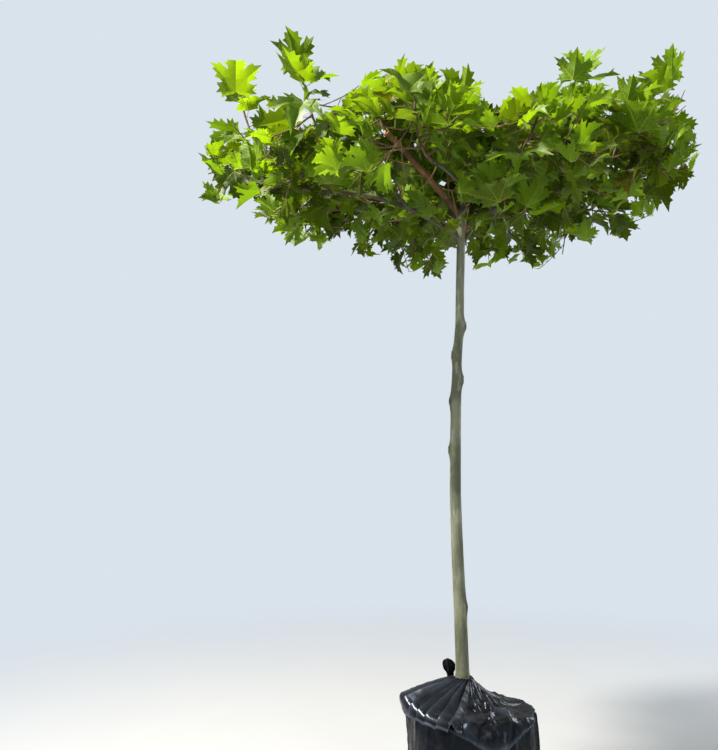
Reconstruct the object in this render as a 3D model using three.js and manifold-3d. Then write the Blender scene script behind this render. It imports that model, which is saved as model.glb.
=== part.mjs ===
// A young plane tree trained as a flat-topped standard, standing on its root ball.
// Millimetres, +Z up. The origin is the centre of the root ball's flat underside.
import * as THREE from "three";
import { mergeVertices } from "three/addons/utils/BufferGeometryUtils.js";
import Module from "manifold-3d";

const wasm = await Module();
wasm.setup();

// Root ball: a filled pot wrapped in film that is gathered round the foot of the trunk.
const BALL = {
  sides: 36,
  folds: 5,
  foldDepth: 5,
  rimRadius: 262,
  rimHeight: 508,
  cornerRise: 8,
  mouthRadius: 44,
  mouthHeight: 604,
  hollow: 0.6,
  pleats: 11,
  pleatDepth: 8,
  pleatTwist: 1.1,
};
// The wall's profile from the edge of the flat underside up to below the rim.
const BALL_WALL = [
  // radius, height
  [240, 0],
  [252, 12],
  [260, 120],
  [268, 300],
  [266, 428],
  [263, 494],
];
// The rings of the top, as shares of the way in from the rim to the mouth.
const BALL_RINGS = [0, 0.06, 0.3, 0.6, 0.85, 1];
// Where the rim leaves its level round: heading in degrees, width in degrees, reach and lift.
const BALL_CORNERS = [
  [183, 17, 36, 20],
  [135, 30, 0, 14],
  [46, 34, -22, -26],
  [-8, 24, -4, -8],
];
// The loose end of the film: a flat teardrop that stands up beside the trunk.
const FILM_END = {
  x: -76,
  y: 40,
  lean: 0.16,
  flat: 0.45,
  sides: 8,
  profile: [
    [0, 575],
    [9, 590],
    [19, 630],
    [22, 652],
    [13, 670],
    [0, 676],
  ],
};

// Trunk: its flat foot on the soil, its fork, and its centre line and radius at named heights.
const TRUNK = { sides: 10, steps: 22, x: -37, y: 0, foot: 588, fork: 2556 };
const TRUNK_STATIONS = [
  // height, offset along X, offset along Y, radius
  [588, 0, 0, 33],
  [640, 0, 0, 27.5],
  [890, -6, 4, 26],
  [1100, -14, 6, 24.5],
  [1350, -20, 4, 23],
  [1730, -14, -4, 22],
  [1900, -7, -6, 19.5],
  [2050, 5, -3, 18],
  [2270, 12, 2, 17.5],
  [2470, 19, 4, 18.5],
  [2556, 22, 4, 21],
];
// Scars of shed branches: height, heading in degrees, how far the collar stands out.
const SCARS = [
  [890, -20, 4],
  [1530, 175, 6],
  [1735, 200, 5],
  [1824, 10, 7],
  [1930, 185, 5],
  [2050, -15, 8],
];
const SCAR_HEIGHT = 34;
const SCAR_WIDTH = 50;

// A limb leaves its parent at a height on the trunk, or at a share of another limb's length,
// and arches up by a share of its own length on the way to its tip.
const LIMBS = [
  // name, parent, where it leaves, tip, radius there, radius at its tip, arch
  ["left", "trunk", 2436, [-600, 0, 2640], 14, 8, 0.18],
  ["right", "trunk", 2478, [520, 0, 2650], 14, 8, 0.18],
  ["back", "trunk", 2456, [170, 360, 2640], 12, 8, 0.2],
  ["front", "trunk", 2506, [130, -320, 2650], 12, 8, 0.2],
  ["high_left", "trunk", 2530, [-330, -100, 2850], 15, 12, 0.03],
  ["high_right", "trunk", 2400, [290, 20, 2820], 10, 8, 0.12],
  ["high_back", "trunk", 2540, [-30, 160, 2850], 11, 8, 0.06],
  ["high_front", "trunk", 2549, [30, -110, 2830], 10, 8, 0.06],
  ["back_right", "right", 0.36, [430, 270, 2650], 9, 7, 0.12],
  ["front_right", "right", 0.52, [430, -230, 2660], 9, 7, 0.12],
  ["back_left", "back", 0.34, [-180, 360, 2640], 9, 7, 0.12],
  ["left_back", "left", 0.5, [-470, 260, 2640], 9, 7, 0.12],
  ["left_front", "left", 0.4, [-470, -240, 2640], 9, 7, 0.12],
  ["front_left", "front", 0.3, [-170, -330, 2650], 9, 7, 0.12],
].map(([name, parent, at, tip, radius, end, arch]) => ({ name, parent, at, tip, radius, end, arch }));
const LIMB_SIDES = 6;
const LIMB_STEPS = 4;
const CLEARANCE = 0.35;
const SEED = 101;

// The mass of foliage at the end of each limb.
const MASSES = [
  // limb, centre of its space, tip of its leading shoot, spread and count of twigs, highest leaf
  ["left", [-880, 0, 2680], [-955, 0, 3010], 250, 6, 3170],
  ["right", [750, 0, 2690], [900, 0, 3110], 220, 6, 3290],
  ["back", [230, 560, 2660], [240, 560, 2960], 250, 6, 3200],
  ["front", [210, -480, 2680], [215, -480, 2790], 220, 5, 2900],
  ["high_left", [-370, -20, 2930], [-300, -20, 3120], 210, 6, 3280],
  ["high_right", [400, 20, 2930], [490, 20, 3180], 200, 6, 3340],
  ["high_back", [-20, 240, 2930], [-70, 230, 3100], 200, 5, 3250],
  ["high_front", [10, -190, 2910], [10, -190, 3000], 190, 5, 3130],
  ["back_right", [600, 400, 2660], [610, 410, 2930], 240, 6, 3120],
  ["front_right", [570, -350, 2660], [590, -350, 2900], 220, 6, 3020],
  ["back_left", [-260, 560, 2660], [-260, 560, 2950], 250, 6, 3170],
  ["left_back", [-680, 380, 2670], [-690, 390, 2930], 240, 6, 3120],
  ["left_front", [-660, -350, 2670], [-690, -345, 2990], 220, 6, 3150],
  ["front_left", [-240, -480, 2670], [-250, -480, 2830], 230, 5, 2980],
].map(([limb, centre, leader, spread, twigs, top]) => ({ limb, centre, leader, spread, twigs, top }));
// The crown's outline in plan is an oval, and its leaves hang no lower than this.
const CROWN = { x: -90, y: 40, halfWidth: 1080, halfDepth: 815, lowest: 2395 };

// Twigs are three-sided. They rise and spread from the stem, and leaves stand round them.
const TWIG = {
  sides: 3,
  stemRadius: 8,
  stemEnd: 5,
  footShare: 0.48,
  end: 3,
  stemSteps: 4,
  steps: 2,
  fromShare: 0.1,
  toShare: 0.85,
  lowest: -170,
  highest: 170,
  nearest: 0.75,
  sag: 0.1,
  onwards: 0.5,
  samples: 6,
};
const TWIG_SHARES = [1, 0.85, 0.7, 0.55];
const GOLDEN_ANGLE = THREE.MathUtils.degToRad(137.5);
// A twig is taken as upright where the sine of its angle to the vertical is under this.
const UPRIGHT_SINE = 0.05;
const LEAF = {
  petiole: 60,
  petioleRadius: 1.1,
  blade: 190,
  thickness: 5,
  cup: 10,
  spacing: 24,
  bareShare: 0.3,
  lastShare: 0.98,
  upright: 3,
  uprightLean: [25, 60],
  uprightRaised: [20, 85],
  lean: [50, 80],
  raised: [-75, 10],
  smallest: 0.8,
  largest: 1.12,
  roll: 40,
  tries: 16,
  tryTurn: 0.9,
  triesToShrink: 8,
};
// Half of the blade's outline, in blade lengths: out from the midrib, along it and above it.
const LEAF_OUTLINE = [
  [0.06, 0.0, 0],
  [0.52, 0.05, -0.06],
  [0.58, 0.56, -0.08],
  [0.2, 0.54, 0],
  [0, 1.0, -0.08],
];

const MATERIALS = {
  film: new THREE.MeshStandardMaterial({ color: 0x17181c, roughness: 0.35, metalness: 0 }),
  bark: new THREE.MeshStandardMaterial({ color: 0x8c8a68, roughness: 0.75, metalness: 0 }),
  limb: new THREE.MeshStandardMaterial({ color: 0x7d6444, roughness: 0.75, metalness: 0 }),
  foliage: new THREE.MeshStandardMaterial({ color: 0x4f7d16, roughness: 0.55, metalness: 0 }),
};

const UP = new THREE.Vector3(0, 0, 1);
const vectorOf = (point) => new THREE.Vector3(...point);
const radians = THREE.MathUtils.degToRad;
const between = ([low, high], share) => THREE.MathUtils.lerp(low, high, share);

// Seeded random numbers from 0 to 1, so that the same tree grows every time.
function seeded(seed) {
  let state = seed >>> 0;
  return () => {
    state = (state + 0x6d2b79f5) >>> 0;
    let t = Math.imul(state ^ (state >>> 15), state | 1);
    t = (t ^ (t + Math.imul(t ^ (t >>> 7), t | 61))) >>> 0;
    return ((t ^ (t >>> 14)) >>> 0) / 2 ** 32;
  };
}

// A value at a height, from a table of rows that start with the height. Beyond the ends of the
// table it goes on as it went.
function stationValue(rows, height, column) {
  let i = 0;
  while (i < rows.length - 2 && rows[i + 1][0] < height) i += 1;
  const [low, high] = [rows[i], rows[i + 1]];
  const share = (height - low[0]) / (high[0] - low[0]);
  return THREE.MathUtils.lerp(low[column], high[column], share);
}

// How far one heading is from another, from 0 to pi.
function turnBetween(a, b) {
  const turn = Math.abs(a - b) % (2 * Math.PI);
  return Math.min(turn, 2 * Math.PI - turn);
}

function solidFrom(positions, indices) {
  return new wasm.Manifold(
    new wasm.Mesh({
      numProp: 3,
      vertProperties: new Float32Array(positions),
      triVerts: new Uint32Array(indices),
    }),
  );
}

// A closed geometry as a solid, with its shared vertices merged.
function solidOf(geometry) {
  geometry.deleteAttribute("normal");
  geometry.deleteAttribute("uv");
  const merged = mergeVertices(geometry, 1e-3);
  return solidFrom(merged.attributes.position.array, merged.index.array);
}

function meshOf(name, solid, material) {
  const { vertProperties, triVerts } = solid.getMesh();
  const geometry = new THREE.BufferGeometry();
  geometry.setAttribute("position", new THREE.BufferAttribute(vertProperties, 3));
  geometry.setIndex(new THREE.BufferAttribute(triVerts, 1));
  geometry.computeVertexNormals();
  const mesh = new THREE.Mesh(geometry, material);
  mesh.name = name;
  return mesh;
}

// The largest body of a solid: loose scraps are dropped and sealed hollows are filled.
function largestBody(solid) {
  return solid.decompose().reduce((a, b) => (b.volume() > a.volume() ? b : a));
}

// A chain of straight stretches between points.
class Chain extends THREE.Curve {
  constructor(points) {
    super();
    this.points = points;
  }

  getPoint(t, target = new THREE.Vector3()) {
    const stretches = this.points.length - 1;
    const i = Math.min(Math.floor(t * stretches), stretches - 1);
    return target.lerpVectors(this.points[i], this.points[i + 1], t * stretches - i);
  }

  // The same chain, longer by a length at its end.
  longer(length) {
    const points = this.points.map((point) => point.clone());
    points.at(-1).addScaledVector(this.getTangent(1), length);
    return new Chain(points);
  }
}

// An arc from one point towards a second and on to a third, as a chain.
function arc(start, middle, end, stretches) {
  return new Chain(new THREE.QuadraticBezierCurve3(start, middle, end).getSpacedPoints(stretches));
}

// A cylinder bent along a curve. Its radius is a function of the share of the length, of the
// point on the curve there, and of the way out from it.
function bentTube(curve, radiusAt, sides, steps) {
  const geometry = new THREE.CylinderGeometry(1, 1, 1, sides, steps);
  const { normals, binormals } = curve.computeFrenetFrames(steps);
  const points = curve.getPoints(steps);
  const position = geometry.attributes.position;
  const v = new THREE.Vector3();
  for (let i = 0; i < position.count; i += 1) {
    v.fromBufferAttribute(position, i);
    const ring = Math.round((v.y + 0.5) * steps);
    const onAxis = Math.hypot(v.x, v.z) < 0.5;
    const out = new THREE.Vector3()
      .addScaledVector(normals[ring], v.x)
      .addScaledVector(binormals[ring], -v.z);
    const radius = onAxis ? 0 : radiusAt(ring / steps, points[ring], out);
    v.copy(points[ring]).addScaledVector(out, radius);
    position.setXYZ(i, v.x, v.y, v.z);
  }
  return solidOf(geometry);
}

// How far the rim reaches out at a heading, and how far it is lifted.
function cornerAt(heading) {
  const corner = { reach: 0, lift: 0 };
  for (const [at, width, reach, lift] of BALL_CORNERS) {
    const share = Math.exp(-((turnBetween(heading, radians(at)) / radians(width)) ** 2));
    corner.reach += reach * share;
    corner.lift += lift * share;
  }
  return corner;
}

// A point of the wall, folded upright and drawn out to the rim's corners near the top.
function onWall(v) {
  const b = BALL;
  const radius = Math.hypot(v.x, v.y);
  if (radius < 1) return v;
  const heading = Math.atan2(v.y, v.x);
  const rise = v.z / b.rimHeight;
  const fold = b.foldDepth * Math.sin(b.folds * heading + 1) * Math.sin(Math.PI * rise);
  const corner = cornerAt(heading);
  const near = rise ** b.cornerRise;
  const out = radius + fold + corner.reach * near;
  return v.set(Math.cos(heading) * out, Math.sin(heading) * out, v.z + corner.lift * near);
}

// A point of the top, gathered in pleats from the rim up to the mouth round the trunk.
function onTop(v) {
  const b = BALL;
  const radius = Math.hypot(v.x, v.y);
  const heading = Math.atan2(v.y, v.x);
  const across = b.rimRadius - b.mouthRadius;
  const share = THREE.MathUtils.clamp((b.rimRadius - radius) / across, 0, 1);
  const out = new THREE.Vector3(Math.cos(heading), Math.sin(heading), 0);
  const corner = cornerAt(heading);
  const rim = out.clone().multiplyScalar(b.rimRadius + corner.reach);
  const mouth = out.clone().multiplyScalar(Math.min(radius, b.mouthRadius));
  mouth.x += TRUNK.x;
  mouth.y += TRUNK.y;
  const hollow = share ** (1 + b.hollow + b.hollow * Math.cos(heading));
  const pleat = Math.cos(b.pleats * (heading + b.pleatTwist * share)) * Math.sin(Math.PI * share);
  v.lerpVectors(rim, mouth, share);
  v.z = THREE.MathUtils.lerp(b.rimHeight + corner.lift, b.mouthHeight, hollow);
  v.z += b.pleatDepth * pleat;
  return v;
}

function rootBall(trunkClear) {
  const b = BALL;
  const inwards = (share) => THREE.MathUtils.lerp(b.rimRadius, b.mouthRadius, share);
  const top = BALL_RINGS.map((share) => [inwards(share), b.rimHeight]);
  const profile = [[0, 0], ...BALL_WALL, ...top, [0, b.rimHeight]].map(
    ([radius, height]) => new THREE.Vector2(radius, height),
  );
  const geometry = new THREE.LatheGeometry(profile, b.sides);
  geometry.rotateX(Math.PI / 2);
  const position = geometry.attributes.position;
  const v = new THREE.Vector3();
  for (let i = 0; i < position.count; i += 1) {
    v.fromBufferAttribute(position, i);
    if (v.z < b.rimHeight - 1) onWall(v);
    else onTop(v);
    position.setXYZ(i, v.x, v.y, v.z);
  }
  return largestBody(solidOf(geometry).add(filmEnd()).subtract(trunkClear));
}

// The film's loose end, which leans to the left.
function filmEnd() {
  const f = FILM_END;
  const foot = f.profile[0][1];
  const profile = f.profile.map(([radius, height]) => new THREE.Vector2(radius, height - foot));
  const geometry = new THREE.LatheGeometry(profile, f.sides);
  geometry.rotateX(Math.PI / 2);
  geometry.scale(1, f.flat, 1);
  geometry.rotateY(-f.lean);
  geometry.translate(f.x, f.y, foot);
  return solidOf(geometry);
}

// The trunk's centre line, a little longer at both ends where it cuts room for the trunk.
class TrunkLine extends THREE.Curve {
  constructor(extra = 0) {
    super();
    this.extra = extra;
  }

  getPoint(t, target = new THREE.Vector3()) {
    const height = THREE.MathUtils.lerp(TRUNK.foot - this.extra, TRUNK.fork + this.extra, t);
    const x = TRUNK.x + stationValue(TRUNK_STATIONS, height, 1);
    const y = TRUNK.y + stationValue(TRUNK_STATIONS, height, 2);
    return target.set(x, y, height);
  }
}

// The collar round each branch scar swells the trunk on its own side.
function scarReach(point, out) {
  const heading = Math.atan2(out.y, out.x);
  return SCARS.reduce((sum, [height, at, reach]) => {
    const up = (point.z - height) / SCAR_HEIGHT;
    const across = turnBetween(heading, radians(at)) / radians(SCAR_WIDTH);
    return sum + reach * Math.exp(-(up ** 2) - across ** 2);
  }, 0);
}

function trunk(extra) {
  const radiusAt = (t, point, out) =>
    stationValue(TRUNK_STATIONS, point.z, 3) + scarReach(point, out) + extra;
  return bentTube(new TrunkLine(extra), radiusAt, TRUNK.sides, TRUNK.steps);
}

// Each limb rises from its parent, then levels off towards its tip.
function limbCurves() {
  const curves = new Map([["trunk", new TrunkLine()]]);
  for (const { name, parent, at, tip, arch } of LIMBS) {
    const height = (at - TRUNK.foot) / (TRUNK.fork - TRUNK.foot);
    const start = curves.get(parent).getPoint(parent === "trunk" ? height : at);
    const end = vectorOf(tip);
    const middle = start.clone().lerp(end, 0.5);
    middle.z += start.distanceTo(end) * arch;
    curves.set(name, arc(start, middle, end, LIMB_STEPS));
  }
  return curves;
}

function limbTube(curve, { radius, end }, extra) {
  const radiusAt = (t) => THREE.MathUtils.lerp(radius, end, t) + extra;
  return bentTube(curve.longer(extra), radiusAt, LIMB_SIDES, LIMB_STEPS);
}

// The planes half way to the other masses, which bound a mass's own space.
function spaceOf(mass) {
  const centre = vectorOf(mass.centre);
  return MASSES.filter((other) => other !== mass).map((other) => {
    const far = vectorOf(other.centre);
    const normal = far.clone().sub(centre).normalize();
    return new THREE.Plane(normal, -normal.dot(centre.clone().lerp(far, 0.5)));
  });
}

function inSpace(p, mass, planes) {
  const c = CROWN;
  const oval = ((p.x - c.x) / c.halfWidth) ** 2 + ((p.y - c.y) / c.halfDepth) ** 2;
  const between = p.z > c.lowest && p.z < mass.top;
  return between && oval < 1 && planes.every((plane) => plane.distanceToPoint(p) < -CLEARANCE);
}

const withBox = (solid) => ({ solid, box: solid.boundingBox() });

function boxesMeet(a, b) {
  return [0, 1, 2].every((k) => a.min[k] <= b.max[k] && b.min[k] <= a.max[k]);
}

function meets(one, others) {
  return others.some(
    (other) => boxesMeet(one.box, other.box) && !one.solid.intersect(other.solid).isEmpty(),
  );
}

// One leaf: its stalk's root, the middle of its blade above and below, and the blade's outline.
function leafPoints({ root, stalk, side, along, above, size }) {
  const blade = LEAF.blade * size;
  const foot = root.clone().addScaledVector(stalk, LEAF.petiole * size);
  const place = ([u, v, w]) =>
    foot
      .clone()
      .addScaledVector(side, u * blade)
      .addScaledVector(along, v * blade)
      .addScaledVector(above, w * blade);
  const middle = place([0, 0.3, 0]).addScaledVector(above, LEAF.cup);
  const half = LEAF_OUTLINE.slice(0, -1);
  return [
    root.clone().addScaledVector(above, LEAF.petioleRadius),
    root.clone().addScaledVector(above, -LEAF.petioleRadius),
    middle.clone().addScaledVector(above, LEAF.thickness / 2),
    middle.clone().addScaledVector(above, -LEAF.thickness / 2),
    ...half.map(place),
    place(LEAF_OUTLINE[LEAF_OUTLINE.length - 1]),
    ...half.reverse().map(([u, v, w]) => place([-u, v, w])),
  ];
}

// A leaf's solid from its points: with its stalk, or the blade alone.
function leafSolid(points, withStalk) {
  const [rootTop, rootLow, top, low, first] = [0, 1, 2, 3, 4];
  const last = points.length - 1;
  const faces = [];
  for (let i = first; i < last; i += 1) faces.push([top, i, i + 1], [low, i + 1, i]);
  if (!withStalk) {
    faces.push([top, last, first], [low, first, last]);
    return solidFrom(
      points.slice(top).flatMap((p) => p.toArray()),
      faces.flat().map((i) => i - top),
    );
  }
  faces.push([top, last, rootTop], [top, rootTop, first]);
  faces.push([low, first, rootLow], [low, rootLow, last]);
  faces.push([rootTop, rootLow, first], [rootLow, rootTop, last]);
  return solidFrom(
    points.flatMap((p) => p.toArray()),
    faces.flat(),
  );
}

// A leaf's directions. Its stalk leans out from the twig, and its blade hangs from the stalk's
// end or, at a twig's tip, stands up from it, turned to show one face or the other.
function leafPose(random, curve, share, turn, upright, size) {
  const tangent = curve.getTangent(share);
  const across = new THREE.Vector3().crossVectors(tangent, UP);
  if (across.length() < UPRIGHT_SINE) across.set(1, 0, 0);
  across.normalize().applyAxisAngle(tangent, turn);
  const lean = radians(between(upright ? LEAF.uprightLean : LEAF.lean, random()));
  const stalk = tangent.clone().multiplyScalar(Math.cos(lean));
  stalk.addScaledVector(across, Math.sin(lean)).normalize();
  const heading = Math.atan2(stalk.y, stalk.x);
  const raised = radians(between(upright ? LEAF.uprightRaised : LEAF.raised, random()));
  const along = new THREE.Vector3(Math.cos(heading), Math.sin(heading), 0);
  along.multiplyScalar(Math.cos(raised));
  along.z = Math.sin(raised);
  const side = new THREE.Vector3(Math.sin(heading), -Math.cos(heading), 0);
  side.applyAxisAngle(along, radians(between([-LEAF.roll, LEAF.roll], random())));
  const above = new THREE.Vector3().crossVectors(side, along);
  return { root: curve.getPoint(share), stalk, side, along, above, size };
}

// The first of a few poses in which the leaf keeps to its space and touches nothing.
function placeLeaf(random, shoot, share, turn, upright, mass, planes, obstacles, leaves) {
  for (let attempt = 0; attempt < LEAF.tries; attempt += 1) {
    const drawn = random() ** (1 + attempt / LEAF.triesToShrink);
    const size = between([LEAF.smallest, LEAF.largest], drawn);
    const turned = turn + attempt * LEAF.tryTurn;
    const pose = leafPose(random, shoot.curve, share, turned, upright, size);
    const points = leafPoints(pose);
    if (!points.every((p) => inSpace(p, mass, planes))) continue;
    const blade = withBox(leafSolid(points, false));
    if (meets(blade, [...obstacles, shoot.twig])) continue;
    const whole = withBox(leafSolid(points, true));
    if (!meets(whole, [...obstacles, ...leaves])) return whole;
  }
  return null;
}

// The stem runs from its limb's tip to the tip of the leading shoot, and twigs branch from it.
function shootsOf(mass, random, limbCurve, planes) {
  const start = limbCurve.getPoint(1);
  const leader = vectorOf(mass.leader);
  const onwards = start.distanceTo(leader) * TWIG.onwards;
  const bow = start.clone().addScaledVector(limbCurve.getTangent(1), onwards);
  const stem = arc(start, bow, leader, TWIG.stemSteps);
  const shoots = [
    { curve: stem, foot: TWIG.stemRadius, end: TWIG.stemEnd, steps: TWIG.stemSteps },
  ];
  for (let k = 0; k < mass.twigs; k += 1) {
    const share = THREE.MathUtils.lerp(TWIG.fromShare, TWIG.toShare, (k + 0.5) / mass.twigs);
    const foot = stem.getPoint(share);
    const angle = k * GOLDEN_ANGLE + random();
    const out = mass.spread * between([TWIG.nearest, 1], random());
    const rise = between([TWIG.lowest, TWIG.highest], random());
    const spread = new THREE.Vector3(Math.cos(angle) * out, Math.sin(angle) * out, rise);
    const tips = TWIG_SHARES.map((part) =>
      vectorOf(mass.centre).addScaledVector(spread, part),
    );
    const tip = tips.find((point) => inSpace(point, mass, planes));
    if (!tip) continue;
    const middle = foot.clone().lerp(tip, 0.5);
    middle.z -= foot.distanceTo(tip) * TWIG.sag;
    const curve = arc(foot, middle, tip, TWIG.steps);
    const radius = THREE.MathUtils.lerp(TWIG.stemRadius, TWIG.stemEnd, share) * TWIG.footShare;
    shoots.push({ curve, foot: radius, end: TWIG.end, steps: TWIG.steps });
  }
  return shoots;
}

// A mass of foliage: its stem and twigs, and the leaves that stand round them.
function growMass(mass, seed, limbCurve, limbs, ownLimb) {
  const random = seeded(seed);
  const otherLimbs = limbs.filter((limb) => limb !== ownLimb);
  const planes = spaceOf(mass);
  const shoots = [];
  for (const shoot of shootsOf(mass, random, limbCurve, planes)) {
    const radiusAt = (t) => THREE.MathUtils.lerp(shoot.foot, shoot.end, t);
    shoot.twig = withBox(bentTube(shoot.curve, radiusAt, TWIG.sides, shoot.steps));
    const inside = shoot.curve
      .getSpacedPoints(TWIG.samples)
      .every((p) => inSpace(p, mass, planes));
    const isStem = shoots.length === 0;
    const others = isStem ? otherLimbs : [...limbs, ...shoots.slice(1).map(({ twig }) => twig)];
    if (inside && !meets(shoot.twig, others)) shoots.push(shoot);
    else if (isStem) throw new Error("The stem of " + mass.limb + " leaves its space");
  }
  const twigs = shoots.map((shoot) => shoot.twig);
  const leaves = [];
  for (const shoot of shoots) {
    const obstacles = [...limbs, ...twigs.filter((twig) => twig !== shoot.twig)];
    const leafy = (LEAF.lastShare - LEAF.bareShare) * shoot.curve.getLength();
    const count = Math.round(leafy / LEAF.spacing);
    let turn = random() * 2 * Math.PI;
    for (let k = 0; k <= count; k += 1) {
      const share = THREE.MathUtils.lerp(LEAF.bareShare, LEAF.lastShare, k / count);
      const upright = count - k < LEAF.upright;
      const leaf = placeLeaf(random, shoot, share, turn, upright, mass, planes, obstacles, leaves);
      if (leaf) leaves.push(leaf);
      turn += GOLDEN_ANGLE;
    }
  }
  const grown = wasm.Manifold.union([...twigs, ...leaves].map((piece) => piece.solid));
  return largestBody(grown.subtract(ownLimb.solid));
}

const tree = new THREE.Group();
const trunkClear = trunk(CLEARANCE);
tree.add(meshOf("root_ball", rootBall(trunkClear), MATERIALS.film));
tree.add(meshOf("trunk", trunk(0), MATERIALS.bark));

// Each limb is cut clear of the trunk and of the limbs before it.
const curves = limbCurves();
const limbsClear = [withBox(trunkClear)];
const clearOf = new Map();
for (const limb of LIMBS) {
  const curve = curves.get(limb.name);
  const cut = limbsClear.reduce(
    (solid, other) => solid.subtract(other.solid),
    limbTube(curve, limb, 0),
  );
  tree.add(meshOf("bough_" + limb.name, largestBody(cut), MATERIALS.limb));
  clearOf.set(limb.name, withBox(limbTube(curve, limb, CLEARANCE)));
  limbsClear.push(clearOf.get(limb.name));
}

MASSES.forEach((mass, i) => {
  const ownLimb = clearOf.get(mass.limb);
  const solid = growMass(mass, SEED + i, curves.get(mass.limb), limbsClear, ownLimb);
  tree.add(meshOf("foliage_" + mass.limb, solid, MATERIALS.foliage));
});

export default tree;
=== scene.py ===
"""A young plane tree, trained as a flat-topped standard, on its film-wrapped root ball.

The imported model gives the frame. The trunk, boughs, twigs, leaves and film that stand for its
solids are grown here by the same rule, carried on to finer twigs and truer leaves.
Lengths are in metres, +Z is up, and the origin is the centre of the root ball's underside.
"""
import math
from dataclasses import dataclass
from functools import cache

import bpy
import numpy as np
from bpy.props import FloatProperty, FloatVectorProperty, IntProperty, PointerProperty
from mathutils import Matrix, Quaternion, Vector, geometry, noise
from mathutils.bvhtree import BVHTree


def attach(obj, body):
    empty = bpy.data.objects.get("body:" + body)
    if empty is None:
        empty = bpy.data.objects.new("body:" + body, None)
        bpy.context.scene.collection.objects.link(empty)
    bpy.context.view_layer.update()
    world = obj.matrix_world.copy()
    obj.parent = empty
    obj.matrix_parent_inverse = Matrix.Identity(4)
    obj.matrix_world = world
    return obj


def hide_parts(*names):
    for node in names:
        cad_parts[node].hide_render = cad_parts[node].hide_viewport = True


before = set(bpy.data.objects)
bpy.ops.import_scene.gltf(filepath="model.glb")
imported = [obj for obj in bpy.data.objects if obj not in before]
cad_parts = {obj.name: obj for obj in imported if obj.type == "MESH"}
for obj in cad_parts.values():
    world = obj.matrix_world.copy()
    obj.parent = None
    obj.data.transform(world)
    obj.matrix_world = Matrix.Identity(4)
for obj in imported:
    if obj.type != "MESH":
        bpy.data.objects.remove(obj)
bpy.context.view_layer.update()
FOLIAGE_NODES = sorted(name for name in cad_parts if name.startswith("foliage_"))
BOUGH_NODES = sorted(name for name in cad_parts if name.startswith("bough_"))

bl_info = {
    "name": "Plane Tree Standard",
    "version": (1, 0, 0),
    "blender": (4, 5, 0),
    "location": "3D View > Sidebar > Plane Tree",
    "description": "Builds a young plane tree with a flat crown on a film-wrapped root ball",
    "category": "Add Mesh",
}

# The camera stands at eye height in front of the tree and looks slightly up.
CAMERA_PLACE = (-0.458, -3.234, 1.53)
CAMERA_PITCH = math.radians(5.56)
CAMERA_LENS = 36.96
CAMERA_SENSOR = 36
# The floor, and the distances from its middle between which it melts into the backdrop.
FLOOR_RADIUS = 80
FLOOR_EDGES = 96
FLOOR_FADES = (1.0, 5.0)
# How strongly the backdrop lights the object from the horizon and from above, and its tint.
SKY_LIGHT = (0.12, 0.72)
SKY_TINT = (0.80, 0.80, 0.78)
WARM_LIGHT = (1.0, 0.95, 0.86)
COOL_LIGHT = (0.88, 0.94, 1.0)
# Soft lights: name, place, diameter, power in watts, tint. All of them face one point.
LIGHTS = (
    ("key", (-3.4, -0.9, 6.0), 0.7, 920, WARM_LIGHT),
    ("fill", (2.8, -4.6, 3.2), 2.4, 70, COOL_LIGHT),
    ("rim", (3.6, 2.6, 2.6), 2.0, 90, COOL_LIGHT),
)
LIGHTS_AIM = (-0.1, 0, 2.2)

# Trunk: its flat foot in the root ball and its fork.
TRUNK_X = -0.037
TRUNK_FOOT = 0.588
TRUNK_FORK = 2.556
TRUNK_STATIONS = (
    # height, offset along X, offset along Y, radius
    (0.588, 0.0, 0.0, 0.033),
    (0.640, 0.0, 0.0, 0.0275),
    (0.890, -0.006, 0.004, 0.026),
    (1.100, -0.014, 0.006, 0.0245),
    (1.350, -0.020, 0.004, 0.023),
    (1.730, -0.014, -0.004, 0.022),
    (1.900, -0.007, -0.006, 0.0195),
    (2.050, 0.005, -0.003, 0.018),
    (2.270, 0.012, 0.002, 0.0175),
    (2.470, 0.019, 0.004, 0.0185),
    (2.556, 0.022, 0.004, 0.021),
)
# Scars of shed branches: height, heading in degrees, how far the collar stands out.
SCARS = (
    (0.890, -30, 0.006),
    (1.530, 192, 0.009),
    (1.735, 200, 0.008),
    (1.824, -20, 0.010),
    (1.930, 192, 0.008),
    (2.050, -28, 0.012),
)
SCAR_HEIGHT = 0.034
SCAR_WIDTH = math.radians(46)
# The rolled ring round each scar: how far out it lies and its width, as shares of the collar.
SCAR_RING = (0.42, 0.13)
RING_HEIGHT = 0.22
PIT_DEPTH = 0.6
PIT_NARROWS = 14
HEALED_NARROWS = 7
RING_HEALED = 0.45
TRUNK_RINGS = 760
TRUNK_SIDES = 16
TRUNK_LUMPS = 0.0007

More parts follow.
